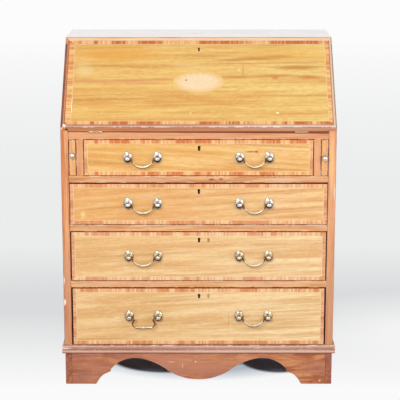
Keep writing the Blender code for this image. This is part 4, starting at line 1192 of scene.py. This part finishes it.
def make_post_mesh():
    """A post on its rose, facing along +Z, with its bolt and nut behind the front."""
    profile = ball_profile(ball_radius, post_reach, neck_radius)
    profile += [(3.4, 9.0), (4.4, 8.2), (4.6, 7.4), (4.2, 6.6), (3.8, 6.0)]
    profile += [(5.4, 4.6), (6.4, 4.0), (6.6, 3.4), (2.2, 3.0)]
    profile += [(2.2, shank_end + 3.2), (4.8, shank_end + 3.0), (4.8, shank_end), (0, shank_end)]
    post = lathe(profile)
    rose = lathe([
        (0, 4.3), (5.0, 4.2), (8.6, 3.5), (10.6, 2.7), (11.2, 2.2), (11.7, 2.3), (12.5, 2.2), (13.1, 1.6),
        (13.3, 0.9), (13.1, 0.2), (0, 0.2),
    ], 40)
    join(post, rose, Matrix.Diagonal((1, rose_half.y / rose_half.x, 1, 1)))
    bmesh.ops.recalc_face_normals(post, faces=post.faces)
    for face in post.faces:
        face.material_index = post_slot(middle_of(face) / millimetre, face.normal.y)
    return post


def post_slot(middle, upward):
    """The slot of a face of the post: darker for tarnish in its hollows and painted shade round the ball, and
    two more for painted reflections on its crown and foot.
    """
    crown, foot = 2, 3
    out = math.hypot(middle.x, middle.y * rose_half.x / rose_half.y)
    on_rose = rose_edge < middle.z < neck_foot
    on_ball = middle.z > ball_foot
    groove = rose_edge < middle.z < 3.0 and rose_groove[0] < out < rose_groove[1]
    # Painted shade: the ball's shadow on the rose below it.
    shaded = on_rose and middle.y < 0 and rose_shade[0] < out < rose_shade[1]
    neck = neck_foot < middle.z < ball_foot and out < neck_half
    # The ball's back half and underside take painted shade; the rose's groove and the neck take tarnish.
    if groove or shaded or neck or on_ball and (middle.z < ball_waist or upward < -0.42):
        return darker
    # A painted dark reflection on the top of the ball.
    if on_ball and upward > facing_eased:
        return crown
    # A painted brown reflection on the foot of the rose.
    return foot if on_rose and middle.y < -rose_foot_drop else core


post_source = make_post_mesh()
for number in drawers:
    looks = [rubbed_brass[number > 2], brass_tarnish_and_shade, ball_crown_reflection, rose_foot_reflection]
    for index in post_numbers:
        turned_brass(post_source.copy(), f"cast_post_{number}_{index}", f"drawer_{number}", looks,
                     f"handle_post_{number}_{index}", post_reach + ball_radius)
print("posts", len([name for name in piece_sizes if "post" in name]), "of", len(post_source.faces), "faces")
post_source.free()

# %% [markdown]
# ## Bails
#
# A bail is a bent rod, forged thin at its pins and swollen in the grip. Rings of vertices are set
# along its path, each turned to the path's direction, and neighbouring rings are bridged. Seven
# bails are plain arcs. The left one of the bottom drawer was replaced long ago by a swan-necked one
# with a lozenge in its grip, and it stays that way here.

# %% Paths of the two kinds of bail
pin_end = 38.2
bail_neck = 32.5
bail_drop = 24.0
pin_radius = 1.5
pin_length = 5.0
rod_half = 2.6
grip_half = 27.0
swell_end = 15.5
collar_span = (12.2, 14.8)
lozenge_half = 6.0
swan_drop = 29.5


def rounded_path(corners, bends, steps=5):
    """A path through corners whose inner ones are rounded to a bend radius."""
    path = [Vector(corners[0])]
    for before, corner, after, radius in zip(corners, corners[1:], corners[2:], bends):
        corner = Vector(corner)
        inward = (Vector(before) - corner).normalized()
        onward = (Vector(after) - corner).normalized()
        half_angle = inward.angle(onward) / 2
        reach = radius / math.tan(half_angle)
        centre = corner + (inward + onward).normalized() * radius / math.sin(half_angle)
        start = corner + inward * reach - centre
        end = corner + onward * reach - centre
        turn = start.angle_signed(end)
        for step in range(steps + 1):
            path.append(centre + Matrix.Rotation(-turn * step / steps, 2) @ start)
    path.append(Vector(corners[-1]))
    return path


def arc_path():
    """Left half of a plain bail, in millimetres across and up."""
    radius = (bail_neck ** 2 + bail_drop ** 2) / (2 * bail_drop)
    reach = math.asin(bail_neck / radius)
    turns = [reach * (1 - step / 14) for step in range(15)]
    grip = [(-radius * math.sin(turn), radius - bail_drop - radius * math.cos(turn)) for turn in turns]
    return rounded_path([(-pin_end, 0), *grip[:2]], (2.0,)) + [Vector(point) for point in grip[2:]]


def swan_path():
    """Left half of the swan-necked bail."""
    corners = [(-pin_end, 0), (-23.6, 0), (-32.5, -18.5), (-23.5, -swan_drop), (-7.5, -swan_drop)]
    half = rounded_path(corners, (3.0, 5.0, 5.0), 6)
    return half + [Vector((across_at, -swan_drop)) for across_at in (-6.0, -4.5, -3.0, -1.5, 0)]


for path in (arc_path(), swan_path()):
    print("bail path", len(path), "points, lowest", round(min(point.y for point in path), 1), "mm")


# %% Bend the rods
def rod_along(path, radii, segments=12):
    """A round rod along a path in the xz plane, capped at both ends; sizes in millimetres."""
    bm = bmesh.new()
    loops = []
    for index, (point, (wide, deep)) in enumerate(zip(path, radii)):
        before = path[max(index - 1, 0)]
        after = path[min(index + 1, len(path) - 1)]
        heading = (after - before).normalized()
        tangent = Vector((heading.x, 0, heading.y))
        side = tangent.cross(Vector((0, 1, 0)))
        turned = Matrix((side, (0, 1, 0), tangent)).transposed().to_4x4()
        spot = Matrix.Translation(Vector((point.x, 0, point.y)) * millimetre)
        size = Matrix.Diagonal((wide * millimetre, deep * millimetre, 1, 1))
        ring = bmesh.ops.create_circle(bm, segments=segments, radius=1.0, matrix=spot @ turned @ size)
        loops.append(list({edge for vert in ring["verts"] for edge in vert.link_edges}))
    for first, second in zip(loops, loops[1:]):
        bmesh.ops.bridge_loops(bm, edges=first + second)
    for end in (loops[0], loops[-1]):
        bmesh.ops.contextual_create(bm, geom=end)
    bmesh.ops.recalc_face_normals(bm, faces=bm.faces)
    return bm


def bail_radii(path, swan):
    """The rod's half thickness up and down and front to back at each point of a path."""
    radii = []
    for point in path:
        away = abs(point.x)
        if away > pin_end - pin_length:
            radii.append((pin_radius, pin_radius))
        elif swan:
            swell = max(0.0, 1 - away / lozenge_half) if point.y < -25 else 0.0
            radii.append((rod_half + 1.4 * math.sin(swell * math.pi / 2), 2.0 + 0.9 * swell))
        else:
            collar = 0.35 if collar_span[0] < away < collar_span[1] else 0.0
            swell = 1 / (1 + math.exp((away - swell_end) / 2.2))
            radii.append((rod_half + 1.2 * swell + collar, 1.9 + 0.7 * swell + collar))
    return radii


def make_bail(number, side):
    node = f"bail_{number}_{side}"
    low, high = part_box(node)
    swan = number == 4 and side == "left"
    half = swan_path() if swan else arc_path()
    path = half + [Vector((-point.x, point.y)) for point in reversed(half[:-1])]
    bm = rod_along(path, bail_radii(path, swan))
    bm.normal_update()
    # The rod's underside and its arms near the pins take painted shade.
    paint(bm, darker, lambda face: face.normal.z < -facing_slight
          or abs(middle_of(face).x) > grip_half * millimetre)
    middle = (low + high) / 2
    pin_level = high.z - pin_radius * millimetre
    bmesh.ops.translate(bm, vec=(middle.x, middle.y, pin_level), verts=bm.verts)
    return finished(bm, f"forged_bail_{number}_{side}", node,
                    [bail_brass, bail_underside_shade], [node], rounded=True)


for number in drawers:
    for side in sides:
        make_bail(number, side)
print("bails", piece_sizes["forged_bail_1_left"], "and", piece_sizes["forged_bail_4_left"], "faces")

# %% Loper knobs
knob_reach = 20.7
knob_hollow = (2.4, 4.2)


def make_loper_knob(side):
    profile = ball_profile(8.7, 12.0, neck_radius)
    profile += [(3.5, 3.6), (3.8, 3.0), (5.0, 2.6), (6.2, 2.2), (6.6, 1.4), (6.2, 0.3), (2.2, 0.3)]
    bm = lathe(profile + [(2.2, -14), (0, -14)])
    paint(bm, darker, lambda face: knob_hollow[0] < middle_of(face).z / millimetre < knob_hollow[1])
    return turned_brass(bm, f"turned_knob_{side}", f"loper_{side}", [handle_brass, brass_tarnish_and_shade],
                        f"loper_knob_{side}", knob_reach)


for side in sides:
    make_loper_knob(side)
print("knobs", piece_sizes["turned_knob_left"], "faces each")

# %% [markdown]
# ## Inside the desk
#
# With the fall down, the pigeonholes show. Their boards are thin mahogany, and the two small drawers
# are faced in satinwood with a string. The writing surface in the fall is leather, a millimetre
# thick, let in flush with the wood and edged with gilt lines.

# %% Pigeonholes and small drawers
board("eased_pigeonholes", "pigeonhole_unit", inner_mahogany, 0.6)
small_front = satinwood("satinwood_small_fronts", ("EBC07A", "F0CA88", "D39A50", "A46C38"), 11.3, 2.0,
                        (180, 9))
small_knob_reach = 17.5
front_area = 0.002
field, string, knob = range(1, 4)
for side in sides:
    node = f"inner_drawer_{side}"
    knob_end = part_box(node)[0].y + small_knob_reach * millimetre
    bm = copy_of(node)
    for face in bm.faces:
        if face.normal.y < -facing_square and face.calc_area() > front_area:
            face.material_index = field
        elif middle_of(face).y < knob_end:
            face.material_index = knob
    ease(bm, front_edges(bm, forward, 30.0), 0.6, string)
    finished(bm, f"small_drawer_{side}", node,
             [oak_deep, small_front, boxwood, hinge_brass], [node])
print("pigeonholes", piece_sizes["eased_pigeonholes"], "faces")

# %% Writing leather
leather_thickness = 1.0
leather_gap = 0.3
recess_depth = 1.2
skin = 0.05
gilded = 1
tooling = [((width,) * 4, (slot, slot))
           for width, slot in ((9.0, core), (1.2, gilded), (4.0, core), (0.7, gilded))]
inner_face_up = Matrix.Rotation(math.radians(135), 4, "X")


def recess_corners():
    """The edges of the recess in the fall's inner face, laid flat."""
    floor = fall_low.z + recess_depth * millimetre
    wide = [spot for spot in fall_flat if abs(spot.z - floor) < weld * 3 and abs(spot.x) > 0.2]
    return [pick(spot[axis] for spot in wide) for axis in (0, 1) for pick in (min, max)]


def make_leather():
    left, right, low, high = recess_corners()
    gap = leather_gap * millimetre
    size = (right - left - 2 * gap, high - low - 2 * gap, leather_thickness * millimetre)
    level = fall_low.z + (recess_depth - skin) * millimetre - size[2] / 2
    bm = bmesh.new()
    bmesh.ops.create_cube(bm, size=1.0)
    bmesh.ops.scale(bm, vec=size, verts=bm.verts)
    bmesh.ops.translate(bm, vec=((left + right) / 2, (low + high) / 2, level), verts=bm.verts)
    move(bm, fall_turn.inverted())
    inlay(bm, inner_face_up, tooling, core)
    ease(bm, [edge for edge in bm.edges if edge.calc_face_angle(0) > square_angle
              and edge.calc_length() > 2 * millimetre], 0.25, core)
    return finished(bm, "writing_leather_lining", "fall", [leather, gilt])


print("recess", [round(edge, 4) for edge in recess_corners()])
make_leather()

# %% [markdown]
# ## Locks and screws
#
# Behind each keyhole sits a cut drawer lock: a brass plate let into the back of the front, a thin
# selvedge over its top edge and the tip of a bolt, which is drawn back, since the drawer slides. The
# plates and the hinge leaves are held by countersunk brass screws, whose slots point every way.

# %% Screws
slot_half = 0.32
screw_pitch = 12.0


def screw_head(middle, outwards, turn):
    """A countersunk head whose slot is scored across it and darkened."""
    head = lathe([(0, 0.35), (1.5, 0.30), (2.1, 0.10), (2.2, -0.3), (0, -0.3)], 20)
    for edge_at in (-slot_half, slot_half):
        upper = [face for face in head.faces if face.normal.z > facing_half]
        score(head, upper, (edge_at * millimetre, 0, 0), (1, 0, 0))
    paint(head, darker, lambda face: face.normal.z > facing_half
          and abs(middle_of(face).x) < slot_half * millimetre)
    facing = Vector(outwards).to_track_quat("Z", "Y").to_matrix().to_4x4()
    move(head, Matrix.Translation(middle) @ facing @ Matrix.Rotation(turn, 4, "Z"))
    return head


def screws(name, body, spots, outwards):
    """A row of screw heads in one piece, each turned a little further than the one before."""
    bm = bmesh.new()
    for index, spot in enumerate(spots):
        join(bm, screw_head(spot, outwards, 0.7 * index + 0.3), Matrix.Identity(4))
    return finished(bm, name, body, [hinge_brass, brass_tarnish_and_shade])


def leaf_spots(node, outwards):
    """Three places in a row on the largest face of a hinge leaf that looks outwards."""
    sheet = copy_of(node)
    face = max((f for f in sheet.faces if f.normal.dot(outwards) > facing_near), key=lambda f: f.calc_area())
    middle = middle_of(face)
    sheet.free()
    return [middle + Vector((step * screw_pitch * millimetre, 0, 0)) for step in (-1, 0, 1)]


inwards = Vector((0, math.sqrt(0.5), -math.sqrt(0.5)))
for side in sides:
    for home, leaf, facing in (("carcass", "bed_leaf", upwards), ("fall", "fall_leaf", inwards)):
        screws(f"{leaf}_screws_{side}", home, leaf_spots(f"{leaf}_{side}", facing), facing)
print("hinge screws in", len([name for name in piece_sizes if "leaf_screws" in name]), "rows of three")

# %% Drawer locks
plate_half = 31.0
plate_height = 36.0
plate_thickness = 1.5
bolt_half = 9.0
bolt_rise = 0.25
sunk = 0.2
screw_half = 26
screw_drops = (7, 29)


def slab(bm, low, high, width):
    """A box between two corners in metres, with rounded edges."""
    made = bmesh.ops.create_cube(bm, size=1.0)["verts"]
    bmesh.ops.scale(bm, vec=high - low, verts=made)
    bmesh.ops.translate(bm, vec=(low + high) / 2, verts=made)
    ease(bm, list({edge for vert in made for edge in vert.link_edges}), width, core)


def make_lock(number):
    """A plate, its selvedge and the tip of its bolt, all measured from the top edge of the front's back."""
    low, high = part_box(f"drawer_front_{number}")
    corner = Vector(((low.x + high.x) / 2, high.y, high.z))
    bm = bmesh.new()
    for half, front, bottom, back, top, width in (
        (plate_half, -sunk, -plate_height, plate_thickness, -0.4, 0.4),
        (plate_half, -10, -sunk, plate_thickness, sunk, 0.15),
        (bolt_half, -7.5, -1, -2.5, bolt_rise, 0.1),
    ):
        slab(bm, corner + Vector((-half, front, bottom)) * millimetre,
             corner + Vector((half, back, top)) * millimetre, width)
    # The lock's faces that look out through the keyhole take the painted keyhole shade.
    paint(bm, darker, lambda face: face.normal.y < -facing_near)
    finished(bm, f"drawer_lock_{number}", f"drawer_{number}", [hinge_brass, keyhole_shade])
    spots = [corner + Vector((across_x, plate_thickness, -down)) * millimetre
             for across_x in (-screw_half, screw_half) for down in screw_drops]
    screws(f"drawer_lock_screws_{number}", f"drawer_{number}", spots, -forward)


for number in drawers:
    make_lock(number)
print("locks of", piece_sizes["drawer_lock_1"], "faces")

# %% [markdown]
# ## Plain fittings
#
# The remaining CAD nodes have the right shape already and only need their finish: the hinge leaves,
# the fall's lock, the drawer boxes and the back.

# %% Finishes for CAD nodes
def dress(node, material):
    """Gives a CAD node its finish, leaving its mesh alone."""
    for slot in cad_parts[node].material_slots:
        slot.material = material


for node in ("bed_leaf_left", "bed_leaf_right", "fall_leaf_left", "fall_leaf_right", "fall_lock"):
    dress(node, hinge_brass)
dress("back_panel", oak_upright)
for number in drawers:
    dress(f"drawer_box_{number}", oak_deep)
shown = [name for name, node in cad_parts.items() if not node.hide_render]
print("CAD nodes that still show", len(shown), shown)

# %% [markdown]
# ## Floor and light
#
# A big soft key stands at the upper left, a weaker fill at the right, and a long panel behind and
# above the desk makes the polished top glare at the low angle from which the camera sees it. The
# world is white for the camera, for metal and for glass, and half as strong as a light.

# %% Floor
def sweep_colour(tree):
    """The paper as the camera sees it, with painted shading: brightest in front, greyer behind the desk where
    a sweep would curve up, brighter far off and to the right, and a painted blue-grey shade just in front of
    the desk.
    """
    back = part_of(tree, place(tree), 1)
    return glazed(
        tree, tint("FAFAFA"),
        (ramp(tree, back, -0.25, 0.5), tint("DADBDC")),
        (ramp(tree, back, 0.7, 1.4), tint("EBECEC")),
        (ramp(tree, back, 2.6, 9.0), tint("FCFCFC")),
        (patch(tree, (760, 250, 0), (560, 520, past_all), 0.8), tint("F6F6F6")),
        (patch(tree, (10, 40, 0), (364, 226, past_all), 0.9, 0.4), tint("A2AEBA")),
    )


def seen_directly(tree):
    """One for rays from the camera, off metal and through glass, and nothing for light on the desk."""
    camera, metal, glass = [add(tree, "ShaderNodeLightPath", {}, out=name)
                            for name in ("Is Camera Ray", "Is Glossy Ray", "Is Transmission Ray")]
    return maths(tree, "ADD", maths(tree, "ADD", camera, metal, use_clamp=True), glass, use_clamp=True)


def paper_colour(tree):
    """Pale paper with a painted blue, deep shade under the desk."""
    shades = [(patch(tree, middle, half, 1.0, 0.12), tint("98B4CE")) for middle, half in under_desk]
    return glazed(tree, tint("E6E6E6"), *shades)


floor_mesh = bpy.data.meshes.new("studio_floor")
bm = bmesh.new()
bmesh.ops.create_grid(bm, x_segments=1, y_segments=1, size=14.0)
bm.to_mesh(floor_mesh)
bm.free()
under_desk = (
    ((-100, 60, 0), (185, 182, past_all)), ((235, 60, 0), (132, 182, past_all)),
    ((0, 170, 0), (392, 230, past_all)),
)
paper = surface("studio_paper", paper_colour, 0.8)
tree = paper.node_tree
shaded = tree.nodes["Principled BSDF"].outputs[0]
bright = add(tree, "ShaderNodeEmission", {"Color": sweep_colour(tree)})
near = 0.0
for middle, half in under_desk:
    near = maths(tree, "MAXIMUM", near, patch(tree, middle, half, 1.0, 0.1))
lit = maths(tree, "MULTIPLY", maths(tree, "SUBTRACT", 1.0, near), seen_directly(tree))
paper_mix = add(tree, "ShaderNodeMixShader", {0: lit, 1: shaded, 2: bright})
tree.links.new(paper_mix, tree.nodes["Material Output"].inputs["Surface"])
floor_mesh.materials.append(paper)
studio_floor = bpy.data.objects.new("studio_floor", floor_mesh)
scene.collection.objects.link(studio_floor)
print("floor", studio_floor.name)

# %% World
world = bpy.data.worlds.new("studio")
world.use_nodes = True
scene.world = world
tree = world.node_tree
tree.nodes.clear()
dim = add(tree, "ShaderNodeBackground", {"Color": tint("FFFFFF"), "Strength": 0.5})
white = add(tree, "ShaderNodeBackground", {"Color": tint("FFFFFF"), "Strength": 1.0})
both = add(tree, "ShaderNodeMixShader", {0: seen_directly(tree), 1: dim, 2: white})
outlet = tree.nodes.new("ShaderNodeOutputWorld")
tree.links.new(both, outlet.inputs["Surface"])
print("world nodes", len(tree.nodes))

# %% Lamps
def panel(name, spot, target, size, power):
    """A soft box that looks at a point."""
    light = bpy.data.lights.new(name, "AREA")
    light.shape = "RECTANGLE"
    light.size, light.size_y = size
    light.energy = power
    lamp = bpy.data.objects.new(name, light)
    lamp.location = spot
    away = Vector(spot) - Vector(target)
    lamp.rotation_euler = away.to_track_quat("Z", "Y").to_euler()
    lamp.visible_camera = False
    scene.collection.objects.link(lamp)
    return lamp


desk_middle = (0, 0, 0.5)
panel("key_box", (-1.0, -3.2, 2.1), desk_middle, (0.9, 0.9), 51)
panel("fill_box", (2.4, -2.6, 1.5), desk_middle, (1.6, 1.6), 28)
panel("back_panel_box", (0, 2.6, 1.75), (0, 0, 0.95), (2.6, 0.8), 3)

# %% Sizes
print("pieces", len(piece_sizes), "faces", sum(piece_sizes.values()))
